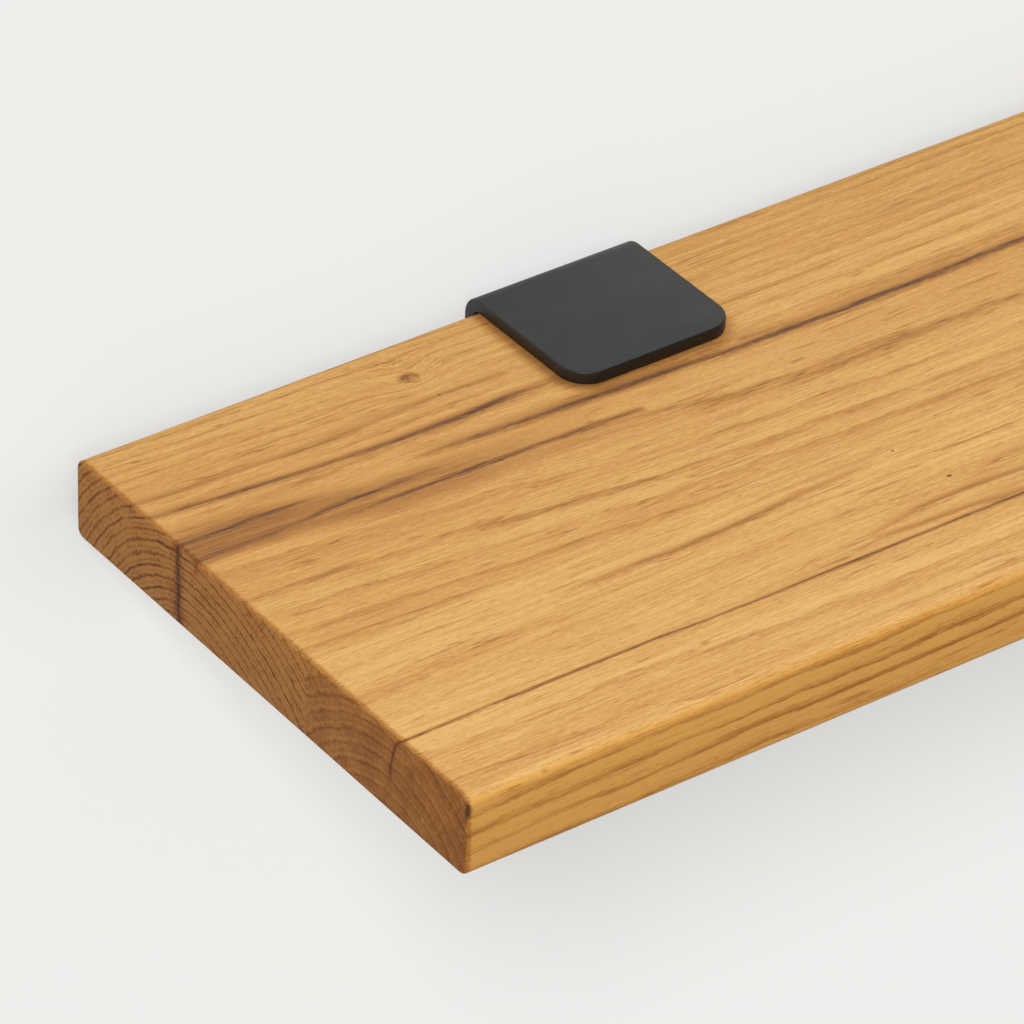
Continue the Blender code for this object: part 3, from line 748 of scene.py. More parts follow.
class Oak(Finish):
    """Oiled oak as a solid: rings round the heart, pores and fibres along the board, rays across it.

    Lengths are in millimetres. Plain factors in the formulas are shares of lightness or of a ring.
    """

    # Lengths of the grains along the fibres, across them and up
    SWAY = (170.0, 45.0, 45.0)
    STRAND = (110.0, 1.5, 1.5)
    FIBRE = (22.0, 0.6, 0.6)
    FLECK = (2.4, 0.4, 0.4)
    MOTTLE = (9.0, 1.1, 1.1)
    RIPPLE = (26.0, 5.0, 5.0)
    FADING = (70.0, 8.0, 8.0)
    BREAK = (12.0, 0.6, 0.6)
    HAIR = (60.0, 2.4, 2.4)
    HAIR_GAP = (24.0, 3.0, 3.0)
    PORE = (6.0, 0.3, 0.3)
    WEAR = (9.0, 0.5, 0.5)
    BROAD = (300.0, 16.0, 16.0)
    CLOUD = (30.0, 6.0, 6.0)
    KNOT_WOOD = (1.8, 1.1, 1.1)
    UNEVEN_RING = (9.0, 1.0, 1.0)
    RAY = (12.0, 0.4, 20.0)

    SWAY_ACROSS = 5.0
    SWAY_UP = 2.5
    TURN_LENGTH = 60.0  # what one radian round the heart counts for
    STREAK_WIDTH = 1.5
    STREAK_HALO = 3.4
    STAIN_CORE = 4.0
    STAIN_WIDTH = 11.0
    SKIN_DEPTH = 9.0
    # reach of the painted shadow round the tabs, in millimetres
    TAB_SHADE = 5.0
    RIM_WIDTH = 1.7
    RIM_CORE = 0.6
    CHIP_SIZE = (1.0, 1.0, 3.0)
    GLOSS = 0.28
    RELIEF = 0.06 * MM

    def __init__(self, name, stave, look):
        super().__init__(name)
        self.stave = stave
        self.where = self.place()
        self.x, self.y, self.z = self.split(self.where)
        self.depth = BOARD_TOP_MM - self.z
        endwise, crosswise, _ = (abs(part) for part in self.split(self.facing()))
        self.long_edge = self.ramp(crosswise, 0.5, 0.95)
        self.follow_fibres()
        self.grow_rings()
        self.open_pores()
        self.draw_marks()
        end = self.ramp(endwise + self.fleck * 0.7 + self.fibre, 0.58, 0.87)
        face_tone = self.face_tone()
        tone = face_tone + end * (self.end_tone() - face_tone)
        dull = self.fleck + self.band * 0.4 + end * 0.5
        sheen = self.ramp(dull, -0.2, 0.8, look.roughness, look.roughness + 0.2)
        self.set(Base_Color=self.oiled(tone, end, look), Roughness=sheen, Specular_IOR_Level=self.GLOSS)
        hollows = self.pore * 0.8 + self.check + self.ring_line * end * 3.0
        self.bump(self.fibre * 0.25 + self.fleck * 0.4 - hollows, self.RELIEF, strength=0.6)

    def noise(self, lengths, detail=2.0, roughness=0.5):
        """Grain that follows the fibres, above and below zero."""
        return self.grain(self.fibres, lengths, detail, roughness) - 0.5

    def follow_fibres(self):
        """Fibres drift along the board, wander a little and swell round the knots."""
        sway_y, sway_z, _ = self.split(self.grain(self.where, self.SWAY, output="Color"))
        self.y_grain = self.y - self.line(self.x, self.stave.drift) + (sway_y - 0.5) * self.SWAY_ACROSS
        self.z_grain = self.z - self.line(self.x, self.stave.rise) + (sway_z - 0.5) * self.SWAY_UP
        self.knot_dark = 0.0
        for along, across, radius in self.stave.knots:
            ragged = self.grain(self.where, self.KNOT_WOOD) - 0.5
            away = self.distance((self.x - along) * 0.8, self.y - across) + ragged * 4.0
            self.y_grain = self.y_grain + self.ramp(away, 4.0 * radius, 0.0) * radius
            dark = self.ramp(away, radius, 0.4 * radius) * self.ramp(ragged, -0.12, 0.08, 0.25, 0.95)
            self.knot_dark = self.higher(self.knot_dark, dark)
        self.fibres = self.joined(self.x, self.y_grain, self.z_grain)
        self.strand = self.noise(self.STRAND, 3.0, 0.6)
        self.fibre = self.noise(self.FIBRE, 2.0, 0.6)
        self.fleck = self.noise(self.FLECK, 2.0, 0.65)
        self.mottle = self.noise(self.MOTTLE, 3.0, 0.6)
        self.ripple = self.noise(self.RIPPLE, 3.0)

    def grow_rings(self):
        """A ring starts with a sharp dark row of pores, fades outwards and is fainter near its crown."""
        stave = self.stave
        across, up = self.y_grain - stave.pith[0], self.z_grain - stave.pith[1]
        rear, front = stave.squeeze
        self.behind = self.math("GREATER_THAN", across, 0.0)
        sideways = across * (self.behind * (rear - front) + front)
        self.from_pith = self.distance(up, sideways)
        self.turn = self.math("ARCTAN2", sideways, up) * self.TURN_LENGTH
        uneven = self.grain(self.joined(self.from_pith, 0.0, 0.0), self.UNEVEN_RING, detail=1.0) - 0.5
        wander = (uneven + self.ripple) * 0.5 + (self.fibre + self.mottle) * 0.3 + self.fleck * 0.15
        count = self.from_pith / stave.ring - stave.phase + wander
        self.within = self.math("FRACT", count)
        self.number = self.math("FLOOR", count)
        self.start = self.ramp(self.within, 0.94, 1.0)
        strength = self.chance(self.number) * 0.55 + 0.45
        self.fading = self.ramp(self.noise(self.FADING), -0.16, 0.1, 0.35, 1.0) * strength
        self.broken = self.ramp(self.noise(self.BREAK), -0.14, 0.1, 0.3, 1.0)
        crown = self.ramp(abs(self.turn), 2.0, 14.0, 0.35, 1.0) * (1.0 - self.behind * 0.3) * stave.contrast
        shown = self.fading * crown
        self.band = self.higher(self.ramp(self.within, 0.6, 0.0), self.start) * shown
        self.ring_line = self.higher(self.ramp(self.within, 0.22, 0.0), self.start) * shown * self.broken
        self.halfway = self.peak(self.within, 0.52, 0.13)

    def open_pores(self):
        """Pores, dense where a ring starts, fine hairs along the fibres, and rays from the heart outwards."""
        dense = self.band + self.halfway * 0.4 + 0.04
        self.pore = self.ramp(self.noise(self.PORE, 1.0), 0.08, 0.18) * dense
        hair = self.ramp(abs(self.noise(self.HAIR, 1.0)), 0.024, 0.006)
        self.hair = hair * self.ramp(self.noise(self.HAIR_GAP), 0.0, 0.12)
        outwards = self.joined(self.x, self.turn, self.from_pith)
        flank = self.ramp(abs(self.turn), 14.0, 36.0, 0.25, 1.0)
        self.ray = self.ramp(self.grain(outwards, self.RAY), 0.52, 0.64) * flank

    def draw_marks(self):
        """The heart check, the mineral streaks and the stained wood beside them."""
        stave = self.stave
        waver = self.ripple * 2.0 + self.fibre * 2.5 + self.fleck * 1.5
        lean = self.line(self.depth, stave.check_lean) + waver * min(1.0, stave.check_width)
        deep = self.ramp(self.depth, stave.check_depth, 0.6 * stave.check_depth)
        self.shallow = self.ramp(self.depth, self.SKIN_DEPTH, 1.0)
        self.check = self.streak(stave.check, lean, stave.check_width) * deep
        self.halo = self.streak(stave.check, lean, 3.0 * stave.check_width) * deep
        for points in stave.streaks:
            self.check = self.higher(self.check, self.streak(points, waver, self.STREAK_WIDTH) * self.shallow)
            self.halo = self.higher(self.halo, self.streak(points, waver, self.STREAK_HALO) * self.shallow)
        self.opened = self.check * self.ramp(self.noise(self.WEAR), -0.16, 0.08, 0.45, 1.0)
        streaky = self.ramp(self.strand + self.fibre, -0.15, 0.12, 0.6, 1.0)
        stained = self.streak(stave.stain, waver * 1.5, self.STAIN_WIDTH, self.STAIN_CORE)
        self.stained = stained * self.shallow * streaky

    def streak(self, points, offset, width, core=0.0):
        """How strongly a drawn line marks a point: fully in its core, fading to nothing at its width."""
        course = self.line(self.x, [(along, across) for along, across, _ in points])
        strength = self.line(self.x, [(along, amount) for along, _, amount in points])
        return self.ramp(abs(self.y - course - offset), width, core) * strength

    def painted_tab_shadow(self):
        """Painted shadow: the wood darkens along the tabs' outlines, where the tabs shade it."""
        aside = self.higher(abs(abs(self.x) - TAB_X_MM) - TAB_HALF_MM + TAB_CORNER_MM, 0.0)
        ahead = self.higher(TAB_FRONT_MM + TAB_CORNER_MM - self.y, 0.0)
        beside = self.distance(aside, ahead) - TAB_CORNER_MM
        return self.ramp(beside + self.fibre * 2.0, self.TAB_SHADE, -0.5) * self.ramp(self.depth, 1.0, 0.1)

    def face_tone(self):
        """Lightness of the faces along the grain, which the hue follows."""
        broad = self.noise(self.BROAD)
        tone = self.strand * 0.25 - broad * 0.3 + self.fibre * 0.45 + self.fleck * 0.5 + 1.0
        tone = tone * self.stave.tone * (self.long_edge * 0.15 + 1.0)
        browned = self.higher(self.halo * 0.42, self.stained * 0.66)
        # Marks that darken the faces; the tabs' mark is painted shadow, not a mark in the wood.
        for mark, strength in (
            (self.band, self.long_edge * 0.55 + 0.22), (self.ring_line, 0.26), (browned, 1.0),
            (self.pore, 0.42), (self.hair, 0.28), (self.opened, 0.78), (self.knot_dark, 0.75),
            (self.painted_tab_shadow(), 0.36),
        ):
            tone = tone * (1.0 - mark * strength)
        for along, across, radius in self.stave.specks:
            away = self.distance((self.x - along) * 0.7, self.y - across)
            tone = tone * (1.0 - self.ramp(away, radius, 0.4 * radius) * self.shallow * 0.75)
        return tone

    def end_tone(self):
        """Lightness of a cut end: the rings as dark and golden lines, the golden ones partly painted
        highlight, rays across them and mottled wood.
        """
        stave = self.stave
        second = self.ramp(self.chance(self.number + 0.5), 0.2, 0.9, 0.1, stave.halfway)
        second = self.halfway * second * (self.behind * 0.7 + 0.3)
        row = self.higher(self.ramp(self.within, stave.pore_row, 0.25 * stave.pore_row), self.start)
        porous = self.higher(row, second) * (self.fading * 0.9 + 0.2) * (self.broken * 0.6 + 0.4)
        # Golden lines beside the rings: partly lighter wood, partly painted highlight where a rough-sawn end
        # catches the light.
        golden = self.peak(self.within, 0.78, 0.16) * stave.halfway
        golden = self.higher(self.peak(self.within, 0.34, 0.14), golden)
        tone = self.noise(self.CLOUD) * 0.7 + golden * 0.25 + self.ray * 0.26 + self.fleck * 0.9 + 0.93
        tone = tone + self.mottle * 1.1 * stave.contrast
        tone = tone * (1.0 - porous * (self.behind * 0.25 + 0.6) * stave.contrast ** 2)
        return tone * (1.0 - self.opened * 0.85) * (1.0 - self.halo * 0.4) * self.line(self.y, stave.end_tone)

    def oiled(self, tone, end, look):
        """Oil darkens the ends, a painted tint warms the long edges for the light they get, and wear leaves a
        ragged warm rim between them.
        """
        colour = self.tones(tone, (look.black, look.dark, look.brown, look.golden, look.pale))
        ragged = self.fleck * 2.5 + self.fibre * 3.0
        inside = BOARD_END_MM - abs(self.x) - ragged
        rim = self.ramp(inside, self.RIM_WIDTH, self.RIM_CORE) * (1.0 - end)
        for share, tint in ((self.long_edge, look.painted_edge_light), (rim, look.arris_tint), (end, look.end_tint)):
            colour = self.blend(share, colour, self.vector_math("MULTIPLY", colour, tint))
        # A dark spot for the chip, painted on the unbroken corner.
        if self.stave.chip:
            gap = self.vector_math("SUBTRACT", self.where, self.stave.chip)
            gap = self.vector_math("DIVIDE", gap, self.CHIP_SIZE)
            reach = self.vector_math("LENGTH", gap, output="Value") + self.fleck * 0.8
            colour = self.scaled(colour, 1.0 - self.ramp(reach, 1.3, 0.5, 0.0, 0.75))
        return colour


def powder_coat(look):
    """Matt black powder coat with its fine orange peel."""
    finish = Finish("powder_coat")
    place = finish.place()
    cloud = finish.grain(place, (14.0, 14.0, 14.0), detail=3.0)
    peel = finish.grain(place, (0.55, 0.55, 0.55), detail=2.0)
    speck = finish.grain(place, (0.18, 0.18, 0.18), detail=1.0)
    lighter = [channel * 1.5 for channel in look.coat]
    smoothest, roughest = look.roughness - 0.05, look.roughness + 0.08
    finish.set(
        Base_Color=finish.blend(finish.ramp(cloud * 0.6 + speck * 0.4, 0.35, 0.65), look.coat, lighter),
        Roughness=finish.ramp(cloud * 0.5 + peel * 0.5, 0.3, 0.7, smoothest, roughest),
        Specular_IOR_Level=0.6,
    )
    finish.bump(peel * 0.7 + speck * 0.3, distance=0.05 * MM, strength=0.35)
    return finish.material


def plated_steel(name, colour, roughness):
    """Plated steel: clouded plate, fine tool marks and a few rubbed spots."""
    finish = Finish(name)
    place = finish.place()
    cloud = finish.grain(place, (5.0, 5.0, 5.0), detail=4.0)
    tool = finish.grain(place, (0.5, 0.5, 0.12), detail=2.0)
    darker = [channel * 0.72 for channel in colour]
    finish.set(
        Base_Color=finish.blend(finish.ramp(cloud * 0.7 + tool * 0.3, 0.35, 0.62), darker, colour),
        Metallic=1.0,
        Roughness=finish.ramp(cloud * 0.5 + tool * 0.5, 0.3, 0.7, roughness, roughness + 0.16),
    )
    finish.bump(tool * 0.7 + cloud * 0.3, distance=0.02 * MM, strength=0.3)
    return finish.material


def moulded(name, colour, roughness, grain_size):
    """Moulded rubber or nylon: a fine skin texture and slight clouds from the mould."""
    finish = Finish(name)
    place = finish.place()
    cloud = finish.grain(place, (7.0, 7.0, 7.0), detail=3.0)
    skin = finish.grain(place, (grain_size, grain_size, grain_size), detail=2.0)
    lighter = [channel * 1.35 for channel in colour]
    finish.set(
        Base_Color=finish.blend(finish.ramp(cloud * 0.6 + skin * 0.4, 0.36, 0.66), colour, lighter),
        Roughness=finish.ramp(cloud * 0.4 + skin * 0.6, 0.3, 0.7, roughness - 0.06, roughness + 0.08),
    )
    finish.bump(skin, distance=0.03 * MM, strength=0.4)
    return finish.material


class SHELF_OT_board(bpy.types.Operator):
    """Build the two oak staves of the board"""

    bl_idname = "shelf.board"
    bl_label = "Oak board"

    EDGE_STEPS = 8
    ARRIS_STEPS = 4

    def execute(self, context):
        look = context.scene.shelf_board
        rear = self.stave("rear_stave_oak", GLUE_Y, REAR_HIGH.y, REAR_HIGH.y, look)
        settle(rear, "rear_stave", "shelf", Oak("oak_rear", REAR_STAVE, look).material)
        front = self.stave("front_stave_oak", FRONT_LOW.y, GLUE_Y, FRONT_LOW.y, look)
        settle(front, "front_stave", "shelf", Oak("oak_front", FRONT_STAVE, look).material)
        return {"FINISHED"}

    def stave(self, name, front_y, rear_y, outer_y, look):
        """A block with its outer long edges rounded over and its ends eased, square at the glue line."""
        piece = block(name, (REAR_LOW.x, front_y, REAR_LOW.z), (REAR_HIGH.x, rear_y, REAR_HIGH.z))
        edit(piece)
        choose(piece, "EDGE", lambda e: span(e).x > MM and near(middle(e).y, outer_y))
        round_off(look.edge_radius, self.EDGE_STEPS)
        choose(piece, "EDGE", lambda e: span(e).x < WELD_DISTANCE and not near(middle(e).y, GLUE_Y))
        round_off(look.arris_radius, self.ARRIS_STEPS)
        done()
        return piece


class SHELF_OT_brackets(bpy.types.Operator):
    """Fold the two steel brackets"""

    bl_idname = "shelf.brackets"
    bl_label = "Clamp brackets"

    COLLAR_HOLE = 5.5 * MM
    SCREW_RIM = 4.8 * MM
    SCREW_HOLE = 2.55 * MM
    SINK_Y = -3.2 * MM  # where the countersink starts to narrow
    BEND_STEPS = 12
    CORNER_STEPS = 14
    HOLE_SIDES = 48
    SHARP_ANGLE = math.radians(50)

    def execute(self, context):
        look = context.scene.shelf_bracket
        finish = powder_coat(look)
        settle_pair(self.folded_sheet("left_bracket_coated", look), "bracket", "shelf", finish)
        return {"FINISHED"}

    def folded_sheet(self, name, look):
        """Tab, bend, back plate, bend and arm as one skin, given the sheet's thickness inwards."""
        radius = look.bend_radius
        top, bottom, front = BRACKET_HIGH.z, BRACKET_LOW.z, BRACKET_LOW.y
        width = BRACKET_HIGH.x - BRACKET_LOW.x
        piece = sheet(name, (BRACKET_X, (front - radius) / 2, top), width, -radius - front)
        edit(piece)
        choose(piece, "EDGE", lambda e: near(middle(e).y, -radius))
        swing((BRACKET_X, -radius, top - radius), self.BEND_STEPS)
        extrude((0.0, 0.0, (bottom + radius) - (top - radius)))
        swing((BRACKET_X, -radius, bottom + radius), self.BEND_STEPS)
        extrude((0.0, front + radius, 0.0))
        choose(piece, "VERT", lambda v: near(v.co.y, front))
        round_off(look.corner_radius, self.CORNER_STEPS, "VERTICES")
        done()
        face_outwards(piece)
        modify(piece, "SOLIDIFY", thickness=look.sheet, offset=self.inward(piece), use_even_offset=True)
        soften(piece, look.edge_radius, steps=3, angle=self.SHARP_ANGLE)
        self.drill(piece, look.sheet)
        return piece

    def drill(self, piece, sheet_thickness):
        """A round hole for the nut's collar in the arm, and two countersunk holes in the back plate."""
        low, high = BRACKET_LOW.z - CLEAR, BRACKET_LOW.z + sheet_thickness + CLEAR
        rings = ((self.COLLAR_HOLE, low), (self.COLLAR_HOLE, high))
        collar = turned("collar_hole", rings, sides=self.HOLE_SIDES)
        join_shape(piece, placed(collar, CLAMP_AXIS), "DIFFERENCE")
        rim, hole, sink = self.SCREW_RIM, self.SCREW_HOLE, self.SINK_Y
        outside = -sheet_thickness - 2 * CLEAR
        rings = ((rim, outside), (rim, sink), (hole, sink + rim - hole), (hole, 2 * CLEAR))
        for x in WALL_SCREW_XS:
            screw = placed(turned("screw_hole", rings, sides=self.HOLE_SIDES), (x, 0.0, 0.0), UP_TO_WALL)
            join_shape(piece, screw, "DIFFERENCE")

    def inward(self, piece):
        """Solidify's offset that leaves the skin outside: its back plate has to face the wall."""
        back = max(piece.data.polygons, key=lambda face: face.center.y)
        return -1.0 if back.normal.y > 0 else 1.0


class SHELF_OT_weld_nuts(bpy.types.Operator):
    """Build the nuts that are welded on the lower arms"""

    bl_idname = "shelf.weld_nuts"
    bl_label = "Weld nuts"

    CORNER_RADIUS = 7.506 * MM  # to the corners of a 13 mm nut
    CROWN = 1.5 * MM
    CROWN_HEIGHT = 1.0 * MM
    COLLAR = 5.2 * MM
    COLLAR_HEIGHT = 1.5 * MM
    BORE = 4.0 * MM
    LEAD_IN = 0.6 * MM

    def execute(self, context):
        look = context.scene.shelf_hardware
        low, bottom, top = NUT_LOW.z, NUT_LOW.z + self.COLLAR_HEIGHT, NUT_HIGH.z
        rings = ((self.CORNER_RADIUS, bottom), (self.CORNER_RADIUS, top))
        nut = turned("left_weld_nut_plated", rings, sides=6)
        wide, flat = self.CORNER_RADIUS + EASE, self.CORNER_RADIUS - self.CROWN
        crown_rings = (
            (flat, bottom - CLEAR), (flat, bottom), (wide, bottom + self.CROWN_HEIGHT),
            (wide, top - self.CROWN_HEIGHT), (flat, top), (flat, top + CLEAR),
        )
        join_shape(nut, turned("crown", crown_rings), "INTERSECT")
        collar_rings = ((self.COLLAR - EASE, low), (self.COLLAR, low + EASE), (self.COLLAR, bottom + CLEAR))
        join_shape(nut, turned("collar", collar_rings), "UNION")
        lead = self.BORE + self.LEAD_IN
        bore_rings = (
            (lead, low - CLEAR), (lead, low), (self.BORE, low + self.LEAD_IN),
            (self.BORE, top - self.LEAD_IN), (lead, top), (lead, top + CLEAR),
        )
        join_shape(nut, turned("bore", bore_rings), "DIFFERENCE")
        face_outwards(nut)
        finish = plated_steel("zinc_nut", look.zinc, roughness=0.3)
        settle_pair(placed(nut, CLAMP_AXIS), "weld_nut", "shelf", finish)
        return {"FINISHED"}


class SHELF_OT_clamp_screws(bpy.types.Operator):
    """Turn the clamp screws with their knurled heads, threads and grooved tips"""

    bl_idname = "shelf.clamp_screws"
    bl_label = "Clamp screws"

    HEAD = 6.5 * MM
    HEAD_HEIGHT = 8.0 * MM
    HEAD_EASE = 0.6 * MM
    NECK_EASE = 0.5 * MM
    KNURL_SIDES = 72
    KNURL = 0.955  # share of the head's radius that is left between the teeth
    SOCKET = 6.0 * MM / 2 / math.cos(math.radians(30))  # to the corners of a 6 mm key
    SOCKET_DEPTH = 4.0 * MM
    DRILL_POINT = 0.9 * MM
    DRILL_TIP = 0.1 * MM
    ROOT = 3.25 * MM
    TIP = 2.7 * MM
    GROOVE = 2.0 * MM
    SHOULDER_Z = 6.1 * MM
    GROOVE_LOW = 8.9 * MM
    GROOVE_HIGH = 10.5 * MM
    THREAD_START = 0.9 * MM
    RUN_OUT = 2.0 * MM

    def execute(self, context):
        look = context.scene.shelf_hardware
        low, high = SCREW_LOW.z, SCREW_HIGH.z
        neck = low + self.HEAD_HEIGHT
        screw = turned(
            "left_clamp_screw_blackened",
            (
                (self.HEAD - self.HEAD_EASE, low), (self.HEAD, low + self.HEAD_EASE),
                (self.HEAD, neck - self.NECK_EASE), (self.HEAD - self.NECK_EASE, neck),
                (self.ROOT, neck), (self.ROOT, self.SHOULDER_Z - self.NECK_EASE),
                (self.TIP, self.SHOULDER_Z), (self.TIP, self.GROOVE_LOW), (self.GROOVE, self.GROOVE_LOW),
                (self.GROOVE, self.GROOVE_HIGH), (self.TIP, self.GROOVE_HIGH), (self.TIP, high - EASE),
                (self.TIP - EASE, high),
            ),
            sides=self.KNURL_SIDES,
        )
        self.knurl(screw, low, neck)
        turns = int((self.SHOULDER_Z - neck - self.RUN_OUT) / look.clamp_pitch)
        start = neck + self.THREAD_START
        ridge = thread("ridge", self.ROOT, look.clamp_thread / 2, look.clamp_pitch, start, turns)
        join_shape(screw, ridge, "UNION")
        floor = low + self.SOCKET_DEPTH
        point = (self.DRILL_TIP, floor + self.DRILL_POINT)
        socket = turned("socket", ((self.SOCKET, low - CLEAR), (self.SOCKET, floor), point), sides=6)
        join_shape(screw, socket, "DIFFERENCE")
        face_outwards(screw)
        finish = plated_steel("black_oxide", look.black_oxide, roughness=0.34)
        settle_pair(placed(screw, CLAMP_AXIS), "clamp_screw", "{side}_clamp_spindle", finish)
        return {"FINISHED"}

    def knurl(self, screw, low, neck):
        """Draws every second edge of the head's side in, which leaves upright teeth."""
        edit(screw)
        step = 2 * math.pi / self.KNURL_SIDES

        def between_teeth(v):
            on_side = low + EASE < v.co.z < neck - EASE
            return on_side and round(math.atan2(v.co.x, v.co.y) / step) % 2 == 1

        choose(screw, "VERT", between_teeth)
        narrow(self.KNURL)
        done()


class SHELF_OT_retaining_clips(bpy.types.Operator):
    """Bend the open rings that keep the plates on the screws' tips"""

    bl_idname = "shelf.retaining_clips"
    bl_label = "Retaining clips"

    INNER = 2.3 * MM
    OUTER = 4.6 * MM
    LUG = 0.22 * MM
    LUG_REACH = math.radians(16)
    MOUTH = math.radians(80)
    STEPS = 36
    EDGE = 0.1 * MM
    SHARP_ANGLE = math.radians(60)

    def execute(self, context):
        look = context.scene.shelf_hardware
        low, high = CLIP_LOW.z, CLIP_HIGH.z
        clip = sheet(
            "left_retaining_clip_plated",
            ((self.INNER + self.OUTER) / 2, 0.0, (low + high) / 2),
            self.OUTER - self.INNER,
            high - low,
            turn=(QUARTER_TURN, 0.0, 0.0),
        )
        edit(clip, "SELECT")
        sweep = 2 * math.pi - self.MOUTH
        bpy.ops.mesh.spin(steps=self.STEPS, angle=sweep, center=(0.0, 0.0, 0.0), axis=(0.0, 0.0, -1.0))
        done()
        face_outwards(clip)
        placed(clip, (0.0, 0.0, 0.0), (0.0, 0.0, QUARTER_TURN + self.MOUTH / 2))
        edit(clip)
        from_mouth = self.MOUTH / 2 + self.LUG_REACH / 2
        lug_turns = (QUARTER_TURN + from_mouth, -QUARTER_TURN, QUARTER_TURN - from_mouth)

        def inside_a_lug(f):
            centre = f.calc_center_median()
            turn = math.atan2(centre.y, centre.x)
            on_bore = near(math.hypot(centre.x, centre.y), self.INNER, self.EDGE) and abs(f.normal.z) < 0.1
            gaps = [math.remainder(turn - lug, 2 * math.pi) for lug in lug_turns]
            return on_bore and min(abs(gap) for gap in gaps) < self.LUG_REACH / 2

        choose(clip, "FACE", inside_a_lug)
        bpy.ops.mesh.extrude_region_move()
        narrow(1 - self.LUG / self.INNER)
        done()
        face_outwards(clip)
        soften(clip, self.EDGE, steps=2, angle=self.SHARP_ANGLE)
        finish = plated_steel("zinc_clip", look.zinc, roughness=0.26)
        settle_pair(placed(clip, CLAMP_AXIS), "retaining_clip", "{side}_clamp_spindle", finish)
        return {"FINISHED"}


class SHELF_OT_pressure_plates(bpy.types.Operator):
    """Turn the round plates that the screws push up"""

    bl_idname = "shelf.pressure_plates"
    bl_label = "Pressure plates"

    CHAMFER = 0.8 * MM
    COUNTERBORE = 6.5 * MM
    COUNTERBORE_FLOOR = 8.9 * MM
    BORE = 3.0 * MM
    BORE_EASE = 0.4 * MM
    GROOVE = 11.0 * MM
    GROOVE_RIM = 1.0 * MM
    GROOVE_FLOOR = 0.6 * MM
    GROOVE_DEPTH = 0.35 * MM

    def execute(self, context):
        look = context.scene.shelf_hardware
        low, high = PLATE_LOW.z, PLATE_HIGH.z
        rim = (PLATE_HIGH.x - PLATE_LOW.x) / 2
        groove, deep = self.GROOVE, low + self.GROOVE_DEPTH
        plate = turned(
            "left_pressure_plate_plated",
            (
                (groove + self.GROOVE_RIM, low), (rim - self.CHAMFER, low), (rim, low + self.CHAMFER),
                (rim, high - EASE), (rim - EASE, high), (self.COUNTERBORE + EASE, high),
                (self.COUNTERBORE, high - EASE), (self.COUNTERBORE, self.COUNTERBORE_FLOOR),
                (self.BORE, self.COUNTERBORE_FLOOR), (self.BORE, low + self.BORE_EASE),
                (self.BORE + self.BORE_EASE, low), (groove - self.GROOVE_RIM, low),
                (groove - self.GROOVE_FLOOR, deep), (groove + self.GROOVE_FLOOR, deep),
            ),
            sides=FINE_SIDES,
            bored=True,
        )
        finish = plated_steel("zinc_plate", look.zinc, roughness=0.28)
        settle_pair(placed(plate, CLAMP_AXIS), "pressure_plate", "{side}_clamp_plate", finish)
        return {"FINISHED"}


class SHELF_OT_plate_facings(bpy.types.Operator):
    """Mould the rubber discs that keep the plates off the wood"""

    bl_idname = "shelf.plate_facings"
    bl_label = "Plate facings"

    EDGE = 0.6 * MM
    EDGE_STEPS = 5

    def execute(self, context):
        look = context.scene.shelf_hardware
        low, high = FACING_LOW.z, FACING_HIGH.z
        inner = (FACING_HIGH.x - FACING_LOW.x) / 2 - self.EDGE
        turns = [QUARTER_TURN * step / self.EDGE_STEPS for step in range(self.EDGE_STEPS + 1)]
        under = [(inner + self.EDGE * math.sin(t), low + self.EDGE * (1 - math.cos(t))) for t in turns]
        over = [(radius, high + low - level) for radius, level in reversed(under)]
        facing = turned("left_plate_facing_moulded", (*under, *over), sides=FINE_SIDES)
        finish = moulded("facing_rubber", look.rubber, roughness=0.8, grain_size=0.4)
        settle_pair(placed(facing, CLAMP_AXIS), "plate_facing", "{side}_clamp_plate", finish)
        return {"FINISHED"}


def settle_wall_fixings(piece, node, finish):
    """Copies a blank on the Z axis to each bracket's two holes and hangs the copies on the frame."""
    for letter, x in zip("ab", WALL_SCREW_XS):
        fixing = copy_across(piece, f"left_{node}_{letter}_finished", Vector())
        placed(fixing, (x, 0.0, 0.0), UP_TO_WALL)
        settle_pair(fixing, f"{node}_{letter}", "shelf", finish)
    bpy.data.objects.remove(piece, do_unlink=True)


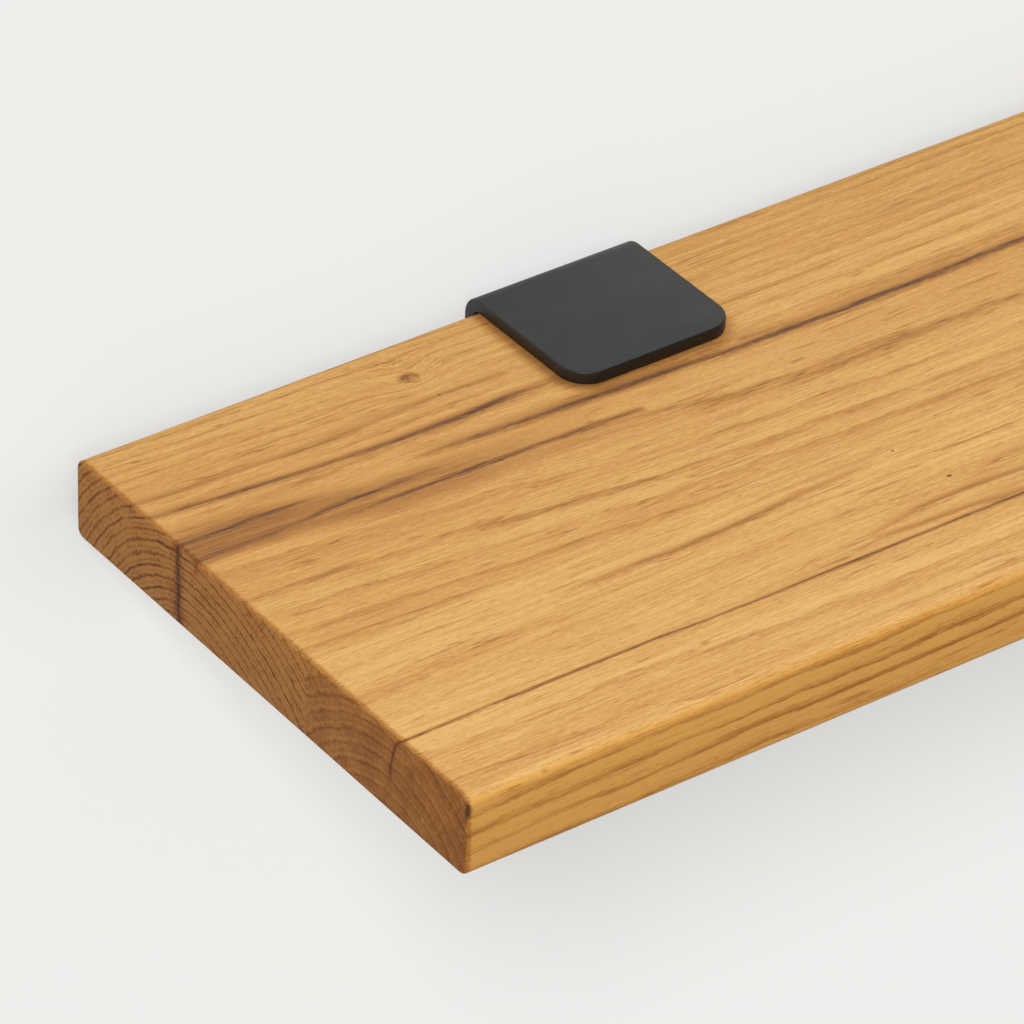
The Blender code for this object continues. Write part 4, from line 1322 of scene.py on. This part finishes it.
class SHELF_OT_wall_screws(bpy.types.Operator):
    """Turn the countersunk wall screws with their threads and cross recesses"""

    bl_idname = "shelf.wall_screws"
    bl_label = "Wall screws"

    RIM = 0.5 * MM
    RIM_EASE = 0.2 * MM
    SHANK = 1.95 * MM
    PLAIN_LENGTH = 4.0 * MM
    STEP = 0.5 * MM
    ROOT = 1.45 * MM
    POINT = 6.0 * MM
    POINT_RADIUS = 0.08 * MM
    THREAD_START = 1.4 * MM
    RUN_OUT = 2.0 * MM
    RECESS_SPAN = 5.0 * MM
    RECESS_WIDTH = 1.3 * MM
    RECESS_DEPTH = 1.8 * MM
    RECESS_TAPER = 0.55  # width at the recess's floor, as a share

    def execute(self, context):
        look = context.scene.shelf_hardware
        face, tip = WALL_SCREW_LOW.y, WALL_SCREW_HIGH.y
        head = (WALL_SCREW_HIGH.x - WALL_SCREW_LOW.x) / 2
        under = face + self.RIM
        neck = under + head - self.SHANK
        start = neck + self.PLAIN_LENGTH
        screw = turned(
            "wall_screw",
            (
                (head - self.RIM_EASE, face), (head, face + self.RIM_EASE), (head, under), (self.SHANK, neck),
                (self.SHANK, start), (self.ROOT, start + self.STEP), (self.ROOT, tip - self.POINT),
                (self.POINT_RADIUS, tip),
            ),
            sides=SMALL_SIDES,
        )
        turns = int((tip - self.POINT - start - self.RUN_OUT) / look.wood_pitch)
        start += self.THREAD_START
        ridge = thread("ridge", self.ROOT, look.wood_thread / 2, look.wood_pitch, start, turns, steps=20)
        join_shape(screw, ridge, "UNION")
        for x, y in ((self.RECESS_SPAN, self.RECESS_WIDTH), (self.RECESS_WIDTH, self.RECESS_SPAN)):
            reach = Vector((x / 2, y / 2, 0.0))
            floor = Vector((0.0, 0.0, face + self.RECESS_DEPTH))
            recess = block("recess", Vector((0.0, 0.0, face - CLEAR)) - reach, floor + reach)
            edit(recess)
            choose(recess, "FACE", lambda f: f.normal.z > 0.9)
            narrow(self.RECESS_TAPER, floor.z)
            done()
            join_shape(screw, recess, "DIFFERENCE")
        face_outwards(screw)
        finish = plated_steel("zinc_screw", look.zinc, roughness=0.27)
        settle_wall_fixings(screw, "wall_screw", finish)
        return {"FINISHED"}


class SHELF_OT_wall_plugs(bpy.types.Operator):
    """Mould the ribbed and split wall plugs"""

    bl_idname = "shelf.wall_plugs"
    bl_label = "Wall plugs"

    BORE = 2.55 * MM
    COLLAR = 8.0 * MM
    RIB_PITCH = 6.0 * MM
    RIB_DEPTH = 0.5 * MM
    RIBS = 5
    SLOT = 1.2 * MM

    def execute(self, context):
        look = context.scene.shelf_hardware
        mouth, end = PLUG_LOW.y, PLUG_HIGH.y
        outer = (PLUG_HIGH.x - PLUG_LOW.x) / 2
        rings = [(outer - EASE, mouth), (outer, mouth + EASE), (outer, mouth + self.COLLAR)]
        for rib in range(self.RIBS):
            start = mouth + self.COLLAR + rib * self.RIB_PITCH
            rings.append((outer - self.RIB_DEPTH, start + self.RIB_DEPTH))
            rings.append((outer, start + self.RIB_PITCH - EASE))
            rings.append((outer, start + self.RIB_PITCH))
        rings += [
            (outer - self.RIB_DEPTH, end), (self.BORE, end),
            (self.BORE, mouth + EASE), (self.BORE + EASE, mouth),
        ]
        plug = turned("wall_plug", rings, sides=SMALL_SIDES, bored=True)
        far, split = end + CLEAR, mouth + self.COLLAR
        for x, y in ((2 * outer, self.SLOT / 2), (self.SLOT / 2, 2 * outer)):
            join_shape(plug, block("slot", (-x, -y, split), (x, y, far)), "DIFFERENCE")
        face_outwards(plug)
        finish = moulded("plug_nylon", look.nylon, roughness=0.5, grain_size=0.25)
        settle_wall_fixings(plug, "wall_plug", finish)
        return {"FINISHED"}


class SHELF_OT_stage(bpy.types.Operator):
    """Set up the backdrop, the lamps and the camera"""

    bl_idname = "shelf.stage"
    bl_label = "Studio stage"

    WALL_GAP = 0.4 * MM
    HALF_WIDTH = 7.0
    WALL_TOP = 5.0
    FLOOR_Z = -0.9
    FLOOR_FRONT = -12.0
    COVE = 0.35
    COVE_STEPS = 16
    CONTACT_REACH = 46 * MM
    CAMERA_REACH = 100.0
    # Levels in millimetres, for the paint
    CLEAR_ABOVE = 60.0
    SHADED_BELOW = -60.0
    TOP_LEVEL = 50.0
    UNDERSIDE_LEVEL = 5.0
    COVE_TOP = -300.0
    TOP_SHARE = 0.2
    FLOOR_SHARE = 0.15
    CONTACT_ABOVE = 0.25
    WALL_BLUR = 0.2

    def execute(self, context):
        look = context.scene.shelf_stage
        self.backdrop(look)
        self.surroundings(context.scene, look)
        self.lamp("key_lamp", look.key, look.key_spread, look.key_from)
        self.lamp("side_lamp", look.side, look.side_spread, look.side_from)
        self.camera(context.scene, look)
        return {"FINISHED"}

    def backdrop(self, look):
        """Wall, cove and floor as one sheet that faces the room."""
        bottom = self.FLOOR_Z + self.COVE
        centre = (0.0, self.WALL_GAP, (self.WALL_TOP + bottom) / 2)
        upright = (QUARTER_TURN, 0.0, 0.0)
        piece = sheet("backdrop", centre, 2 * self.HALF_WIDTH, self.WALL_TOP - bottom, upright)
        edit(piece)
        choose(piece, "EDGE", lambda e: near(middle(e).z, bottom))
        swing((0.0, self.WALL_GAP - self.COVE, bottom), self.COVE_STEPS)
        extrude((0.0, self.FLOOR_FRONT, 0.0))
        bpy.ops.mesh.select_all(action="SELECT")
        bpy.ops.mesh.normals_make_consistent(inside=False)
        done()
        wall = max(piece.data.polygons, key=lambda face: face.center.z)
        if wall.normal.y > 0:
            edit(piece, "SELECT")
            bpy.ops.mesh.flip_normals()
            done()
        smooth(piece)
        piece.data.materials.append(self.backdrop_paint(look))

    def backdrop_paint(self, look):
        """Pale matt paint that only the camera and mirrors see, and only from the room's side.

        It glows as much as the lamps would light it, less its share of real light, which carries the shadow.
        """
        paint = Finish("backdrop_paint")
        paint.tree.nodes.remove(paint.shader)
        height = paint.split(paint.place())[2]
        least = self.TOP_SHARE * look.shade
        share = paint.ramp(height, self.CLEAR_ABOVE, self.SHADED_BELOW, least, look.shade)
        share = share * paint.ramp(height, self.FLOOR_Z / MM, self.COVE_TOP, self.FLOOR_SHARE, 1.0)
        matt = paint.fed(paint.node("ShaderNodeBsdfDiffuse"), paint.scaled(tuple(look.backdrop), share))
        closeness = paint.node("ShaderNodeAmbientOcclusion", samples=4)
        closeness.inputs["Distance"].default_value = self.CONTACT_REACH
        above = self.CONTACT_ABOVE * look.contact
        deep = paint.ramp(height, self.TOP_LEVEL, self.UNDERSIDE_LEVEL, above, look.contact)
        contact = (Field(paint, closeness.outputs["AO"]) - 1.0) * deep + 1.0
        glow = paint.fed(paint.node("ShaderNodeEmission"), look.behind, (1.0 - share * look.lit) * contact)
        lit = paint.fed(paint.node("ShaderNodeAddShader"), glow, matt)
        clear = paint.fed(paint.node("ShaderNodeBsdfTransparent"))
        room_side = 1.0 - Field(paint, paint.node("ShaderNodeNewGeometry").outputs["Backfacing"])
        shown = paint.mix_shaders(paint.seen_by("Camera", "Glossy", "Transmission") * room_side, clear, lit)
        paint.feed(paint.tree.nodes["Material Output"].inputs["Surface"], shown)
        return paint.material

    def surroundings(self, scene, look):
        """Even light from all round. The camera sees a pale distance, mirrors see it behind the wall only."""
        scene.world = bpy.data.worlds.new("studio")
        scene.world.use_nodes = True
        room = Wiring(scene.world.node_tree)
        direction = Field(room, room.node("ShaderNodeTexCoord").outputs["Generated"])
        behind_wall = room.ramp(room.split(direction)[1], -self.WALL_BLUR, self.WALL_BLUR, kind="LINEAR")
        fill = room.fed(room.tree.nodes["Background"], (1.0, 1.0, 1.0), look.fill)
        mirrored = room.blend(behind_wall, look.room, look.behind)
        in_mirrors = room.fed(room.node("ShaderNodeBackground"), mirrored)
        to_camera = room.fed(room.node("ShaderNodeBackground"), look.behind)
        lit = room.mix_shaders(room.seen_by("Glossy", "Transmission"), fill, in_mirrors)
        shown = room.mix_shaders(room.seen_by("Camera"), lit, to_camera)
        room.feed(room.tree.nodes["World Output"].inputs["Surface"], shown)
        scene.view_settings.view_transform = "Standard"

    def lamp(self, name, strength, spread, direction):
        """An even lamp far away, as wide as its spread."""
        light = bpy.data.lights.new(name, "SUN")
        light.energy = strength
        light.angle = spread
        lamp = bpy.data.objects.new(name, light)
        lamp.rotation_euler = Vector(direction).to_track_quat("Z", "Y").to_euler()
        bpy.context.scene.collection.objects.link(lamp)

    def camera(self, scene, look):
        camera = bpy.data.cameras.new("camera")
        camera.lens = look.lens
        camera.clip_end = self.CAMERA_REACH
        camera_object = bpy.data.objects.new("camera", camera)
        heading, tilt, roll = look.camera_turn
        turn = Matrix.Rotation(tilt, 4, "X") @ Matrix.Rotation(roll, 4, "Z")
        heading = Matrix.Rotation(heading, 4, "Z")
        camera_object.matrix_world = Matrix.Translation(look.camera_place) @ heading @ turn
        scene.collection.objects.link(camera_object)
        scene.camera = camera_object


PIECES = (
    SHELF_OT_board,
    SHELF_OT_brackets,
    SHELF_OT_weld_nuts,
    SHELF_OT_clamp_screws,
    SHELF_OT_retaining_clips,
    SHELF_OT_pressure_plates,
    SHELF_OT_plate_facings,
    SHELF_OT_wall_screws,
    SHELF_OT_wall_plugs,
    SHELF_OT_stage,
)
SETTINGS = {
    "shelf_board": BoardSettings,
    "shelf_bracket": BracketSettings,
    "shelf_hardware": HardwareSettings,
    "shelf_stage": StageSettings,
}


class SHELF_PT_sidebar(bpy.types.Panel):
    """Lists the shelf's pieces in the sidebar"""

    bl_idname = "SHELF_PT_sidebar"
    bl_label = "Bracket wall shelf"
    bl_space_type = "VIEW_3D"
    bl_region_type = "UI"
    bl_category = "Shelf"

    def draw(self, context):
        for piece in PIECES:
            self.layout.operator(piece.bl_idname)
        for name in SETTINGS:
            group = getattr(context.scene, name)
            box = self.layout.box()
            for setting in group.bl_rna.properties:
                if setting.identifier not in ("rna_type", "name"):
                    box.prop(group, setting.identifier)


def register():
    for name, group in SETTINGS.items():
        bpy.utils.register_class(group)
        setattr(bpy.types.Scene, name, bpy.props.PointerProperty(type=group))
    for piece in PIECES:
        bpy.utils.register_class(piece)
    bpy.utils.register_class(SHELF_PT_sidebar)


def unregister():
    bpy.utils.unregister_class(SHELF_PT_sidebar)
    for piece in reversed(PIECES):
        bpy.utils.unregister_class(piece)
    for name, group in SETTINGS.items():
        delattr(bpy.types.Scene, name)
        bpy.utils.unregister_class(group)


def main():
    register()
    bpy.ops.shelf.board()
    bpy.ops.shelf.brackets()
    bpy.ops.shelf.weld_nuts()
    bpy.ops.shelf.clamp_screws()
    bpy.ops.shelf.retaining_clips()
    bpy.ops.shelf.pressure_plates()
    bpy.ops.shelf.plate_facings()
    bpy.ops.shelf.wall_screws()
    bpy.ops.shelf.wall_plugs()
    bpy.ops.shelf.stage()


if __name__ == "__main__":
    main()
